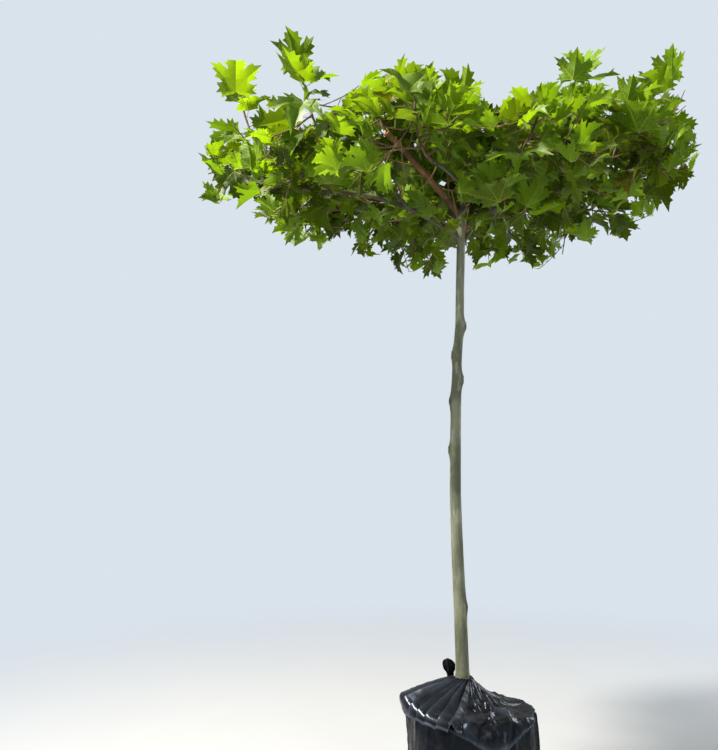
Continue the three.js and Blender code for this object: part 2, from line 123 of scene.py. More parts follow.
# Limbs: parent, where each leaves it, tip, radius there and at the tip, arch.
LIMBS = {
    "left": ("trunk", 2.436, (-0.600, 0, 2.640), 0.014, 0.008, 0.18),
    "right": ("trunk", 2.478, (0.520, 0, 2.650), 0.014, 0.008, 0.18),
    "back": ("trunk", 2.456, (0.170, 0.360, 2.640), 0.012, 0.008, 0.2),
    "front": ("trunk", 2.506, (0.130, -0.320, 2.650), 0.012, 0.008, 0.2),
    "high_left": ("trunk", 2.530, (-0.330, -0.100, 2.850), 0.015, 0.012, 0.03),
    "high_right": ("trunk", 2.400, (0.290, 0.020, 2.820), 0.010, 0.008, 0.12),
    "high_back": ("trunk", 2.540, (-0.030, 0.160, 2.850), 0.011, 0.008, 0.06),
    "high_front": ("trunk", 2.549, (0.030, -0.110, 2.830), 0.010, 0.008, 0.06),
    "back_right": ("right", 0.36, (0.430, 0.270, 2.650), 0.009, 0.007, 0.12),
    "front_right": ("right", 0.52, (0.430, -0.230, 2.660), 0.009, 0.007, 0.12),
    "back_left": ("back", 0.34, (-0.180, 0.360, 2.640), 0.009, 0.007, 0.12),
    "left_back": ("left", 0.5, (-0.470, 0.260, 2.640), 0.009, 0.007, 0.12),
    "left_front": ("left", 0.4, (-0.470, -0.240, 2.640), 0.009, 0.007, 0.12),
    "front_left": ("front", 0.3, (-0.170, -0.330, 2.650), 0.009, 0.007, 0.12),
}
# Masses: centre of the space, tip of the leading shoot, spread and count of twigs, highest leaf.
MASSES = {
    "left": ((-0.880, 0, 2.680), (-0.970, 0, 3.035), 0.250, 6, 3.245),
    "right": ((0.750, 0, 2.690), (0.890, 0, 3.105), 0.220, 6, 3.340),
    "back": ((0.230, 0.560, 2.660), (0.240, 0.560, 2.960), 0.250, 6, 3.200),
    "front": ((0.210, -0.480, 2.680), (0.215, -0.480, 2.790), 0.220, 5, 2.900),
    "high_left": ((-0.370, -0.020, 2.930), (-0.300, -0.020, 3.085), 0.210, 6, 3.350),
    "high_right": ((0.400, 0.020, 2.930), (0.500, 0.020, 3.155), 0.200, 6, 3.375),
    "high_back": ((-0.020, 0.240, 2.930), (-0.070, 0.230, 3.100), 0.200, 5, 3.250),
    "high_front": ((0.010, -0.190, 2.910), (-0.030, -0.190, 2.970), 0.190, 5, 3.215),
    "back_right": ((0.600, 0.400, 2.660), (0.610, 0.410, 2.930), 0.240, 6, 3.120),
    "front_right": ((0.570, -0.350, 2.660), (0.590, -0.350, 2.900), 0.220, 6, 3.020),
    "back_left": ((-0.260, 0.560, 2.660), (-0.260, 0.560, 2.950), 0.250, 6, 3.170),
    "left_back": ((-0.680, 0.380, 2.670), (-0.690, 0.390, 2.930), 0.240, 6, 3.120),
    "left_front": ((-0.660, -0.350, 2.670), (-0.680, -0.345, 2.975), 0.220, 6, 3.180),
    "front_left": ((-0.240, -0.480, 2.670), (-0.250, -0.480, 2.830), 0.230, 5, 2.980),
}
# The limb that was pruned, the part of it that shows, the points along it that are kept in
# view, and how wide a gap the leaves leave before each.
PRUNED_LIMB = "high_left"
PRUNED_SEEN = (0.25, 1.08)
PRUNED_SIGHTS = 15
PRUNED_CLEAR = math.radians(0.85)
# The pruning stub: how far beyond the limb's tip each ring is, and its radius.
STUB_RINGS = (
    (-0.0120, 0.0118),
    (0.0000, 0.0128),
    (0.0100, 0.0132),
    (0.0160, 0.0128),
    (0.0190, 0.0112),
    (0.0185, 0.0098),
    (0.0165, 0.0088),
    (0.0165, 0.0040),
)
# Where the bare cut face of the stub begins, along it and out from its middle.
CUT_FROM = 0.015
CUT_RADIUS = 0.0095
# How far the leaves above the canopy may stand to the side of their leading shoot.
LEADER_HALF = 0.055
# How far the tips of lobes may stand over the top of their mass.
TIPS_OVER = 0.006
# Rings of each limb, the collars at their feet, and the lumps of their bark.
LIMB_RINGS = 48
COLLAR = 0.15
COLLAR_LENGTH = 0.03
BOUGH_LUMPS = 0.0012
CROWN_CENTRE = (-0.090, 0.040)
CROWN_HALF_WIDTH = 1.080
CROWN_HALF_DEPTH = 0.815
CROWN_LOWEST = 2.395
# How steeply the top of the leaves rises away from the eye, by how far a line of sight turns to
# the side. Only the leading shoots and their leaves stand above it.
CANOPY = (
    (-0.240, 0.415), (-0.181, 0.440), (-0.131, 0.436), (-0.093, 0.438), (-0.035, 0.462),
    (-0.019, 0.482), (0.000, 0.496), (0.018, 0.519), (0.055, 0.533), (0.110, 0.528),
    (0.165, 0.500), (0.183, 0.454), (0.208, 0.454), (0.220, 0.492), (0.271, 0.499),
    (0.325, 0.505), (0.345, 0.486), (0.386, 0.485), (0.405, 0.492), (0.446, 0.485),
    (0.468, 0.457),
)
SEED = 101
GOLDEN_ANGLE = math.radians(137.5)
UP = Vector((0, 0, 1))

# Twigs of each mass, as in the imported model.
STEM_RADIUS = 0.0075
STEM_END = 0.0035
TWIG_END = 0.0022
TWIG_FROM = 0.1
TWIG_TO = 0.85
TWIG_RISE = (-0.17, 0.17)
TWIG_NEAREST = 0.75
TWIG_SAG = 0.1
TWIG_SHARES = (1, 0.85, 0.7, 0.55)
TWIG_THINNER = 0.75
STEM_ONWARDS = 0.5
# Finer shoots that branch from the twigs, and from the outer part of each limb.
SHOOT_EVERY = 0.055
SHOOT_FROM = 0.15
SHOOT_LAST = 0.9
SHOOT_LENGTH = (0.08, 0.2)
SHOOT_ANGLE = (38, 66)
SHOOT_LIFT = 0.2
SHOOT_STEPS = 8
SHOOT_THINNER = 0.7
SHOOT_THICKEST = 0.0035
SHOOT_END = 0.0016
SPUR_FROM = 0.1
SPUR_EVERY = 0.06
SPUR_LENGTH = (0.1, 0.24)
# The heights between which the trunk's own spurs grow.
TRUNK_SPURS = (2.38, 2.54)
TRUNK_SPUR_STEPS = 6
TRUNK_SPUR_EVERY = 0.014
# A twig's radius at its buds and between them.
BUD_SWELLS = 1.18
BUD_BETWEEN = 0.95

# Leaves along a stem and along a twig: the share of the length where they begin, and the last.
STEM_LEAVES_FROM = 0.35
TWIG_LEAVES_FROM = 0.3
LEAVES_UNTIL = 0.985
# The last leaves of a shoot stand upright.
UPRIGHT_LEAVES = 3
# Poses in degrees: the lean from the twig and the rise, of upright leaves and of the rest.
UPRIGHT_LEAN, UPRIGHT_RISE = (25, 60), (20, 85)
SIDE_LEAN, SIDE_RISE = (50, 80), (-75, 15)
# The leaf that crowns a leading shoot shows its face: its rise, heading, twist and fold.
CROWNING_RISE = (62, 86)
CROWNING_HEADING = (68, 112)
CROWNING_TWIST = 0.45
CROWNING_FOLD = 0.6
# How a blade is twisted and folded in degrees, and how it droops, curls and narrows.
BLADE_TWIST = (-42, 42)
BLADE_FOLD = (6, 44)
BLADE_DROOP = (0.1, 1.1)
BLADE_CURL = (-0.3, 0.7)
BLADE_WIDTH = (0.86, 1.04)
STALK_LENGTH = (0.8, 1.25)
STALK_STEPS = 4
# Scales of leaves: the least, and the largest at the first and at the last pose tried; then
# the least of a leading shoot's leaves, the least of one that crowns it, and their largest.
LEAST_SCALE = 0.34
LARGEST_SCALE = (0.8, 0.55)
LEADING_SCALE, CROWNING_SCALE, LEADING_LARGEST = 0.55, 0.72, 0.95
# Poses tried for each leaf of a leading shoot, and the turn from one pose to the next.
LEADING_TRIES = 4
TRY_TURN = 0.9

# Film round the root ball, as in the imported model: the wall's profile, the rim and the mouth.
BALL_WALL = (
    # height, radius
    (0.000, 0.240),
    (0.012, 0.252),
    (0.120, 0.260),
    (0.300, 0.268),
    (0.428, 0.266),
    (0.494, 0.263),
)
BALL_RIM = (0.262, 0.508)
BALL_MOUTH = (0.044, 0.604)
RIM_ROUND = 0.026
# Where the rim leaves its level round: heading and width in degrees, reach and lift.
BALL_CORNERS = (
    (183, 17, 0.036, 0.020),
    (135, 30, 0.0, 0.014),
    (46, 34, -0.020, -0.015),
    (-8, 24, -0.004, -0.008),
)
# The seed of the film's creases.
FILM_SEED = 3
# The sheet of film: columns round the ball; rows below it, up its wall, over the rim, on top
# and up the collar.
FILM_COLUMNS = 320
FILM_ROWS = (6, 84, 10, 52, 8)
FILM_THICKNESS = 0.0014
# The gathered collar that closes on the trunk.
COLLAR_PROFILE = (
    # share of the way up, radius, height
    (0.0, 0.044, 0.604),
    (0.4, 0.040, 0.611),
    (0.7, 0.034, 0.614),
    (1.0, 0.028, 0.606),
)
COLLAR_PLEATS = 23
COLLAR_PLEAT_DEPTH = 0.003
# Long folds that hang from the rim's corners: heading, lean, width, height and length.
HANGING_FOLDS = (
    (176, 0.35, 0.030, 0.007, 0.42),
    (184, -0.10, 0.024, 0.009, 0.50),
    (191, -0.45, 0.034, 0.006, 0.36),
    (205, -0.20, 0.028, 0.005, 0.30),
    (-62, 0.30, 0.030, 0.006, 0.34),
    (-40, 0.25, 0.026, 0.007, 0.40),
    (-22, 0.12, 0.024, 0.008, 0.48),
    (-10, 0.05, 0.022, 0.010, 0.50),
    (2, -0.15, 0.026, 0.007, 0.44),
    (40, 0.20, 0.034, 0.006, 0.40),
    (75, -0.22, 0.030, 0.006, 0.42),
    (112, 0.26, 0.028, 0.007, 0.36),
    (140, -0.18, 0.026, 0.006, 0.45),
)
# How strongly the hanging folds stand out, and how far the film between them is drawn in.
FOLD_STRENGTH, FOLD_LEVEL = 1.4, 0.15
# Creases of the wall: size and depth of the upright facets, of the slack ones that cross them,
# of the fine upright lines, and of the film bunched at the foot, with how high that reaches.
WALL_FACETS, WALL_CREASES = 0.07, 0.0105
SLACK_FACETS, SLACK_CREASES = 0.045, 0.0026
LINE_STEP, LINE_DEPTH = 0.034, 0.0030
FOOT_FACETS, FOOT_CREASES, FOOT_HEIGHT = 0.05, 0.008, 0.035
# Pleats of the top: how many go round, how high they stand beside one another, and their shift;
# then the height of them all, and how far they swing round on the way to the neck.
TOP_PLEATS = ((11, 0.55, 0), (23, 0.3, 2), (37, 0.2, 1))
TOP_PLEAT_HEIGHT = 0.0105
TOP_SWING = 1.1
# Facets of the top: size and height all over, and the coarse and the fine ones where the film is
# crumpled.
TOP_FACETS, TOP_CREASES = 0.04, 0.003
CRUMPLED_FACETS, CRUMPLED_CREASES = 0.075, 0.020
CRUMPLED_FINE_FACETS, CRUMPLED_FINE_CREASES = 0.03, 0.0015
# Headings and widths: where the top is smoothest, where it is crumpled, and where the flap
# covers it.
SMOOTHEST, SMOOTH_WIDTH = 0.25, 0.6
CRUMPLED, CRUMPLED_WIDTH = math.radians(-62), 0.7
COVERED, COVERED_WIDTH = math.radians(194), 0.95
# How far the film under the flap is let down.
COVERED_DOWN = 0.006
# Folded flap and hanging fold: headings at the rim, headings at the neck, the hem's height by
# the share of the way across, and the corners across and along.
FLAP_RIM = (-106, -226)
FLAP_NECK = (-38, -226)
FLAP_HEM = (
    (0.000, 0.486),
    (0.030, 0.484),
    (0.062, 0.514),
    (0.092, 0.484),
    (0.330, 0.488),
    (0.620, 0.470),
    (0.800, 0.478),
    (1.000, 0.490),
)
FLAP_GRID = (240, 80)
FLAP_PLEATS = 11
FLAP_PLEAT_HEIGHT = 0.023
# The share of a pleat's width that slopes up before the steep step down, and how it curves.
PLEAT_SLOPE = 0.9
PLEAT_CURVE = 1.4
PLEAT_TOP = 0.863
PLEAT_DROP = 0.1
# How far the flap stands off the film below it, and how far its hem flares at either end.
FLAP_PROUD = 0.010
FLAP_FLARE = (0.022, 0.004)
HEM_ROLL = 0.003
HEM_SCALLOPS = 0.003
LOBE_RIM = (-116, -34)
LOBE_NECK = (-66, -24)
LOBE_HEM = ((0.0, 0.486), (0.2, 0.456), (0.42, 0.406), (0.55, 0.428), (0.75, 0.474), (1.0, 0.492))
LOBE_GRID = (130, 90)
# The crumpled film's facets: size and height, the coarse ones and the fine ones, and its folds.
LOBE_FACETS, LOBE_LUMPS = 0.095, 0.034
LOBE_FINE_FACETS, LOBE_FINE_LUMPS = 0.04, 0.006
LOBE_FOLDS = 0.007
LOBE_SIZE = 0.36
# The share of the way along a sheet where it leaves the top for the rim and its hem.
SHEET_ON_TOP = 0.72
# The film mirrors the light a little blue.
SHEEN_TINT = (0.66, 0.80, 1.0)
SHEEN = 0.19
# The loose end of the film beside the trunk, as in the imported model.
FILM_END = (-0.076, 0.040)
FILM_END_LEAN = 0.16
FILM_END_FLAT = 0.45
FILM_END_GRID = (56, 40)
FILM_END_PROFILE = (
    # height, radius
    (0.575, 0.000),
    (0.590, 0.009),
    (0.630, 0.019),
    (0.652, 0.022),
    (0.670, 0.013),
    (0.676, 0.000),
)

# Half of a leaf's edge, in blade lengths: out from the midrib, and along it from the stalk.
LEAF_EDGE = (
    (0.100, -0.060),
    (0.270, -0.075),
    (0.440, -0.150),
    (0.430, -0.030),
    (0.600, -0.035),
    (0.500, 0.070),
    (0.600, 0.150),
    (0.420, 0.205),
    (0.520, 0.265),
    (0.660, 0.300),
    (0.580, 0.385),
    (0.730, 0.470),
    (0.630, 0.535),
    (0.760, 0.715),
    (0.565, 0.640),
    (0.500, 0.740),
    (0.400, 0.610),
    (0.245, 0.505),
    (0.290, 0.620),
    (0.375, 0.690),
    (0.255, 0.735),
    (0.275, 0.865),
    (0.135, 0.860),
)
LEAF_TIP = (0.0, 1.080)
# The main veins: the lobe's tip, and the shares of its length where the blade bends.
VEINS = (
    ((0.0, 1.080), (0.28, 0.60)),
    ((0.760, 0.715), (0.48,)),
    ((-0.760, 0.715), (0.48,)),
    ((0.600, -0.035), (0.5,)),
    ((-0.600, -0.035), (0.5,)),
)
# Half of a main vein's width at its foot, and the side veins' slant and spacing.
VEIN_HALF = 0.012
SIDE_VEIN_SLANT = 0.8
SIDE_VEIN_STEP = 0.13
# How a blade bends: where its lobes meet, and how far it puckers and flutters.
LOBES_MEET = 0.25
PUCKER = 0.45
FLUTTER = 0.22
# The blade's place on its UV map: the scale, and the place of the stalk.
LEAF_UV_SCALE = 0.6
LEAF_UV_FOOT = (0.5, 0.15)
# The share of light that shines through a blade, and the wax on its upper side.
LEAF_GLOW = 0.42
WAX = (0.3, 0.9)
WAX_ROUGHNESS = 0.58
# A leaf stalk's thickness from its foot to the blade.
STALK_SHAPE = (1.7, 1.1, 0.95, 0.9, 0.9)
# Corners nearer than this are one.
SAME_PLACE = 1e-5


class TreeSizes(bpy.types.PropertyGroup):
    """Sizes that a user may change."""

    blade: FloatProperty(
        name="Leaf blade", description="Length of a full-grown blade", default=0.185, unit="LENGTH"
    )
    stalk: FloatProperty(
        name="Leaf stalk", description="Length of a full-grown stalk", default=0.075, unit="LENGTH"
    )
    stalk_radius: FloatProperty(
        name="Stalk radius", description="Radius of a leaf stalk", default=0.0015, unit="LENGTH"
    )
    leaf_spacing: FloatProperty(
        name="Leaf spacing", description="Distance between leaves on a twig", default=0.034,
        unit="LENGTH",
    )
    leaf_tries: IntProperty(
        name="Poses tried", description="Poses tried before a leaf is skipped", default=10
    )
    overlap: FloatProperty(
        name="Mingling", description="How far a mass's leaves reach among its neighbours'",
        default=0.07, unit="LENGTH",
    )


def colour(name, description, default):
    """A colour that a user may change."""
    return FloatVectorProperty(
        name=name, description=description, default=default, subtype="COLOR", size=3,
        min=0, max=1,
    )


class TreeColours(bpy.types.PropertyGroup):
    """Colours that a user may change."""

    bark: colour("Bark", "Smooth bark of the trunk", (0.215, 0.225, 0.150))
    # Also the painted shade low on the trunk.
    bark_dark: colour("Dark bark", "Weathered patches of the bark", (0.095, 0.105, 0.065))
    flake: colour("Flake", "Pale places where the bark has flaked", (0.36, 0.365, 0.28))
    scar: colour("Scar", "Healed wood of the scars", (0.062, 0.050, 0.032))
    limb: colour("Bough", "Bark of the boughs", (0.085, 0.080, 0.045))
    twig: colour("Twig", "Bark of the twigs", (0.15, 0.085, 0.045))
    twig_dark: colour("Dark twig", "Weathered bark of the twigs", (0.07, 0.045, 0.025))
    shoot: colour("Young shoot", "Bark of the finest shoots", (0.20, 0.13, 0.05))
    pruned: colour("Pruned bough", "Weathered bark of the pruned bough", (0.34, 0.15, 0.075))
    cut: colour("Cut face", "Dry wood of a pruning cut", (0.50, 0.34, 0.20))
    stalk: colour("Leaf stalk", "Leaf stalks", (0.36, 0.40, 0.10))
    stalk_blush: colour("Stalk blush", "Redder stretches of the leaf stalks", (0.32, 0.16, 0.07))
    vein: colour("Vein", "Main veins of the leaves", (0.32, 0.37, 0.05))
    film: colour("Film", "Black film of the wrapping", (0.003, 0.0035, 0.005))
    # Painted sheen: this bluish grey on the film's creases and hem stands in for the sky's
    # reflection and the hem's highlight, and is partly rubbed wear.
    crest: colour("Creases", "Film rubbed dull along its creases", (0.048, 0.058, 0.080))
    # Partly painted reflection: this brown is soil dust, and it also stands in for the ground's
    # reflection in the lower wall.
    dust_and_ground_reflection: colour("Dust", "Dry soil dust on the film", (0.16, 0.14, 0.115))
    floor: colour("Floor", "Studio floor", (0.44, 0.45, 0.46))
    backdrop: colour("Backdrop", "Pale light behind the object", (0.70, 0.77, 0.84))


# Leaf tones: upper side, underside, light that shines through, the margin's tint and its share.
LEAF_TONES = {
    "young": (
        (0.135, 0.255, 0.003), (0.145, 0.250, 0.010), (0.32, 0.51, 0.004),
        (0.28, 0.28, 0.01), 0.3,
    ),
    "bright": (
        (0.074, 0.153, 0.002), (0.098, 0.178, 0.007), (0.22, 0.39, 0.003),
        (0.22, 0.21, 0.01), 0.3,
    ),
    "mid": (
        (0.042, 0.086, 0.001), (0.078, 0.120, 0.004), (0.155, 0.245, 0.002),
        (0.14, 0.12, 0.01), 0.3,
    ),
    # The deep tone is a darker copy of the green: painted shade for leaves inside the crown.
    "deep": (
        (0.018, 0.037, 0.001), (0.049, 0.072, 0.003), (0.075, 0.115, 0.001),
        (0.10, 0.07, 0.01), 0.3,
    ),
    "pale": (
        (0.070, 0.120, 0.020), (0.160, 0.230, 0.095), (0.20, 0.30, 0.020),
        (0.16, 0.18, 0.03), 0.3,
    ),
    "rusty": (
        (0.085, 0.100, 0.003), (0.11, 0.12, 0.007), (0.25, 0.25, 0.004),
        (0.20, 0.065, 0.01), 1.0,
    ),
}


class Dice:
    """Seeded random numbers from 0 to 1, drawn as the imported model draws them."""

    MASK = 0xFFFFFFFF

    def __init__(self, seed):
        self.state = seed & self.MASK

    def __call__(self):
        mask = self.MASK
        self.state = (self.state + 0x6D2B79F5) & mask
        t = (self.state ^ (self.state >> 15)) * (self.state | 1) & mask
        t = (t ^ (t + ((t ^ (t >> 7)) * (t | 61) & mask))) & mask
        return ((t ^ (t >> 14)) & mask) / 2**32

    def between(self, low, high):
        """A random number between two others."""
        return low + (high - low) * self()


def lerp(low, high, share):
    """The value a share of the way from one to another."""
    return low + (high - low) * share


def clamp(value, low=0.0, high=1.0):
    """A value kept between two others."""
    return max(low, min(high, value))


def station(height, column):
    """A value at a height from the table of the trunk's stations."""
    rows = TRUNK_STATIONS
    i = 0
    while i < len(rows) - 2 and rows[i + 1][0] < height:
        i += 1
    share = (height - rows[i][0]) / (rows[i + 1][0] - rows[i][0])
    return lerp(rows[i][column], rows[i + 1][column], share)


def trunk_point(height):
    """The middle of the trunk at a height."""
    return Vector((TRUNK_X + station(height, 1), station(height, 2), height))


def turn_between(a, b):
    """How far one heading is from another, from 0 to pi."""
    turn = abs(a - b) % (2 * math.pi)
    return min(turn, 2 * math.pi - turn)


class Line:
    """A bent line through points, read by share of its length."""

    def __init__(self, points):
        self.points = points
        self.run = [0.0]
        for a, b in zip(points, points[1:]):
            self.run.append(self.run[-1] + (b - a).length)

    @property
    def length(self):
        """The line's whole length."""
        return self.run[-1]

    def at(self, share):
        """The point a share of the way along."""
        want = clamp(share) * self.length
        i = 0
        while i < len(self.points) - 2 and self.run[i + 1] < want:
            i += 1
        step = self.run[i + 1] - self.run[i]
        return self.points[i].lerp(self.points[i + 1], (want - self.run[i]) / step)

    def direction(self, share):
        """Which way the line runs there."""
        near = 0.02
        return (self.at(share + near) - self.at(share - near)).normalized()


def arc(start, middle, end, steps=14):
    """A line from one point towards a second and on to a third."""
    shares = [i / steps for i in range(steps + 1)]
    return Line([start.lerp(middle, t).lerp(middle.lerp(end, t), t) for t in shares])


@cache
def limb_lines():
    """Each limb rises from its parent, then levels off towards its tip."""
    lines = {}
    for name, (parent, at, tip, _, _, arch) in LIMBS.items():
        start = trunk_point(at) if parent == "trunk" else lines[parent].at(at)
        end = Vector(tip)
        middle = start.lerp(end, 0.5)
        middle.z += (end - start).length * arch
        lines[name] = arc(start, middle, end)
    return lines


@cache
def borders(mass):
    """The planes half way to the other masses: a point on each, and its direction outwards."""
    centre = Vector(MASSES[mass][0])
    found = []
    for other, row in MASSES.items():
        if other != mass:
            far = Vector(row[0])
            found.append((centre.lerp(far, 0.5), (far - centre).normalized()))
    return found


def under_canopy(point):
    """Whether a point is below the top of the leaves that no leading shoot carries."""
    away = point.y - CAMERA_PLACE[1]
    return (point.z - CAMERA_PLACE[2]) / away < np.interp(turn_of(point), *zip(*CANOPY))


def turn_of(point):
    """How far to the side a line of sight turns to meet a point."""
    return (point.x - CAMERA_PLACE[0]) / (point.y - CAMERA_PLACE[1])


@cache
def pruned_sights():
    """Points along the pruned bough, with the way to each from the eye and how far it is."""
    eye = Vector(CAMERA_PLACE)
    line = limb_lines()[PRUNED_LIMB]
    last = PRUNED_SIGHTS - 1
    points = [line.at(lerp(*PRUNED_SEEN, k / last)) for k in range(PRUNED_SIGHTS)]
    return [((point - eye).normalized(), (point - eye).length) for point in points]


def hides_pruned(point):
    """Whether a point stands between the eye and the pruned bough."""
    offset = point - Vector(CAMERA_PLACE)
    way, distance = offset.normalized(), offset.length
    return any(way.dot(to) > math.cos(PRUNED_CLEAR) and distance < far
               for to, far in pruned_sights())


def in_space(point, mass, overlap=0.0, leading=False):
    """Whether a point is in a mass's own space, inside the crown."""
    top = MASSES[mass][4]
    across = (point.x - CROWN_CENTRE[0]) / CROWN_HALF_WIDTH
    back = (point.y - CROWN_CENTRE[1]) / CROWN_HALF_DEPTH
    if not CROWN_LOWEST < point.z < top or across**2 + back**2 > 1:
        return False
    beside = abs(turn_of(point) - turn_of(Vector(MASSES[mass][1])))
    if not (leading and beside < LEADER_HALF) and not under_canopy(point):
        return False
    return all((point - on).dot(out) < overlap for on, out in borders(mass))


@dataclass
class Shoot:
    """A stem, twig or finer shoot of a mass, of order 0, 1 or 2, with its radius at each end."""

    mass: str
    line: Line
    foot: float
    end: float
    order: int


def stem_and_twigs(mass, dice):
    """The stem from the limb's tip to the leader's tip, and the twigs that spread from it."""
    centre, leader, spread, count, _ = MASSES[mass]
    limb = limb_lines()[mass]
    start = limb.at(1)
    end = Vector(leader)
    bow = start + limb.direction(1) * (end - start).length * STEM_ONWARDS
    stem = Shoot(mass, arc(start, bow, end), STEM_RADIUS, STEM_END, 0)
    shoots = [stem]
    for k in range(count):
        share = lerp(TWIG_FROM, TWIG_TO, (k + 0.5) / count)
        foot = stem.line.at(share)
        angle = k * GOLDEN_ANGLE + dice()
        out = spread * dice.between(TWIG_NEAREST, 1)
        rise = dice.between(*TWIG_RISE)
        reach = Vector((math.cos(angle) * out, math.sin(angle) * out, rise))
        tips = [Vector(centre) + reach * part for part in TWIG_SHARES]
        tip = next((point for point in tips if in_space(point, mass)), None)
        if tip is None:
            continue
        middle = foot.lerp(tip, 0.5)
        middle.z -= (tip - foot).length * TWIG_SAG
        radius = lerp(STEM_RADIUS, STEM_END, share) * TWIG_THINNER
        shoots.append(Shoot(mass, arc(foot, middle, tip), radius, TWIG_END, 1))
    return shoots


def side_shoots(line, radii, dice, first, last, every, lengths):
    """Side shoots of a twig or limb, turned round it one after another."""
    count = int(line.length * (last - first) / every)
    turn = dice() * 2 * math.pi
    shoots = []
    for k in range(count):
        share = lerp(first, last, (k + 0.5) / count)
        foot = line.at(share)
        along = line.direction(share)
        across = along.orthogonal().normalized()
        across.rotate(Quaternion(along, turn))
        lean = math.radians(dice.between(*SHOOT_ANGLE))
        way = along * math.cos(lean) + across * math.sin(lean)
        length = dice.between(*lengths)
        turn += GOLDEN_ANGLE
        tip = foot + (way + UP * SHOOT_LIFT).normalized() * length
        mass = mass_at(tip)
        if not in_space(tip, mass):
            continue
        middle = foot + way * length * 0.5
        radius = min(lerp(*radii, share) * SHOOT_THINNER, SHOOT_THICKEST)
        grown = arc(foot, middle, tip, SHOOT_STEPS)
        shoots.append(Shoot(mass, grown, radius, SHOOT_END, 2))
    return shoots


def mass_at(point):
    """The mass whose centre is nearest."""
    return min(MASSES, key=lambda mass: (Vector(MASSES[mass][0]) - point).length)


@cache
def crown_shoots():
    """All the stems, twigs and finer shoots of the crown."""
    shoots = []
    for i, mass in enumerate(MASSES):
        dice = Dice(SEED + i)
        grown = stem_and_twigs(mass, dice)
        for twig in list(grown):
            ends = (twig.foot, twig.end)
            grown += side_shoots(
                twig.line, ends, dice, SHOOT_FROM, SHOOT_LAST, SHOOT_EVERY, SHOOT_LENGTH
            )
        _, _, _, foot, end, _ = LIMBS[mass]
        grown += side_shoots(
            limb_lines()[mass], (foot, end), dice, SPUR_FROM, 1, SPUR_EVERY, SPUR_LENGTH
        )
        shoots += grown
    steps = range(TRUNK_SPUR_STEPS + 1)
    top = Line([trunk_point(lerp(*TRUNK_SPURS, k / TRUNK_SPUR_STEPS)) for k in steps])
    dice = Dice(SEED + len(MASSES))
    spurs = (STEM_RADIUS, STEM_END)
    shoots += side_shoots(top, spurs, dice, 0, 1, TRUNK_SPUR_EVERY, SPUR_LENGTH)
    return shoots


@cache
def flat_leaf():
    """The blade laid flat: its points, triangles, and each point's distance to a main vein."""
    right = [Vector(point) for point in LEAF_EDGE]
    left = [Vector((-point[0], point[1])) for point in reversed(LEAF_EDGE)]
    edge = [Vector((0, 0)), *right, Vector(LEAF_TIP), *left]
    points = list(edge)
    ribs = []
    for tip, shares in VEINS:
        tip = Vector(tip)
        last = next(i for i, point in enumerate(edge) if (point - tip).length < 1e-6)
        run = [0, *range(len(points), len(points) + len(shares)), last]
        points += [tip * share for share in shares]
        ribs += list(zip(run, run[1:]))
    outline = list(range(len(edge)))
    verts, _, faces, *_ = geometry.delaunay_2d_cdt(points, ribs, [outline], 1, 1e-7)
    flat = np.array([tuple(point) for point in verts])
    triangles = []
    for face in faces:
        face = list(face)
        a, b, c = (flat[i] for i in face)
        if (b[0] - a[0]) * (c[1] - a[1]) - (b[1] - a[1]) * (c[0] - a[0]) < 0:
            face.reverse()
        triangles.append(face)
    return flat, triangles, vein_distance(flat)


def vein_distance(flat):
    """How far each point of the flat blade is from the nearest main vein."""
    nearest = np.full(len(flat), 9.0)
    for tip, _ in VEINS:
        tip = np.array(tip)
        share = np.clip(flat @ tip / (tip @ tip), 0, 1)
        away = np.linalg.norm(flat - share[:, None] * tip, axis=1)
        nearest = np.minimum(nearest, away)
    return nearest


@dataclass
class Leaf:
    """One leaf where it grows: the line of its stalk, and the corners of its blade."""

    stalk: Line
    blade: np.ndarray
    tone: str
    size: float
    shade: float


def bend_blade(dice, fold, droop, curl):
    """The blade's points in blade lengths, folded along its midrib and bent from end to end."""
    flat, _, vein_gap = flat_leaf()
    seed = dice() * 50
    u, v = flat[:, 0] * dice.between(*BLADE_WIDTH), flat[:, 1]
    reach = np.hypot(u, v - LOBES_MEET)
    flutter = np.array([noise.noise((p[0] * 3, p[1] * 3, seed)) for p in flat])
    z = PUCKER * np.minimum(vein_gap, 0.16) + FLUTTER * flutter * reach
    z -= curl * np.maximum(reach - 0.3, 0) ** 2
    x = u * math.cos(fold) - np.sign(u) * z * math.sin(fold)
    z = z * math.cos(fold) + np.abs(u) * math.sin(fold)
    angle = droop * v
    radius = 1 / droop
    y = np.sin(angle) * (radius + z)
    z = np.cos(angle) * (radius + z) - radius
    return np.stack([x, y, z], axis=1)


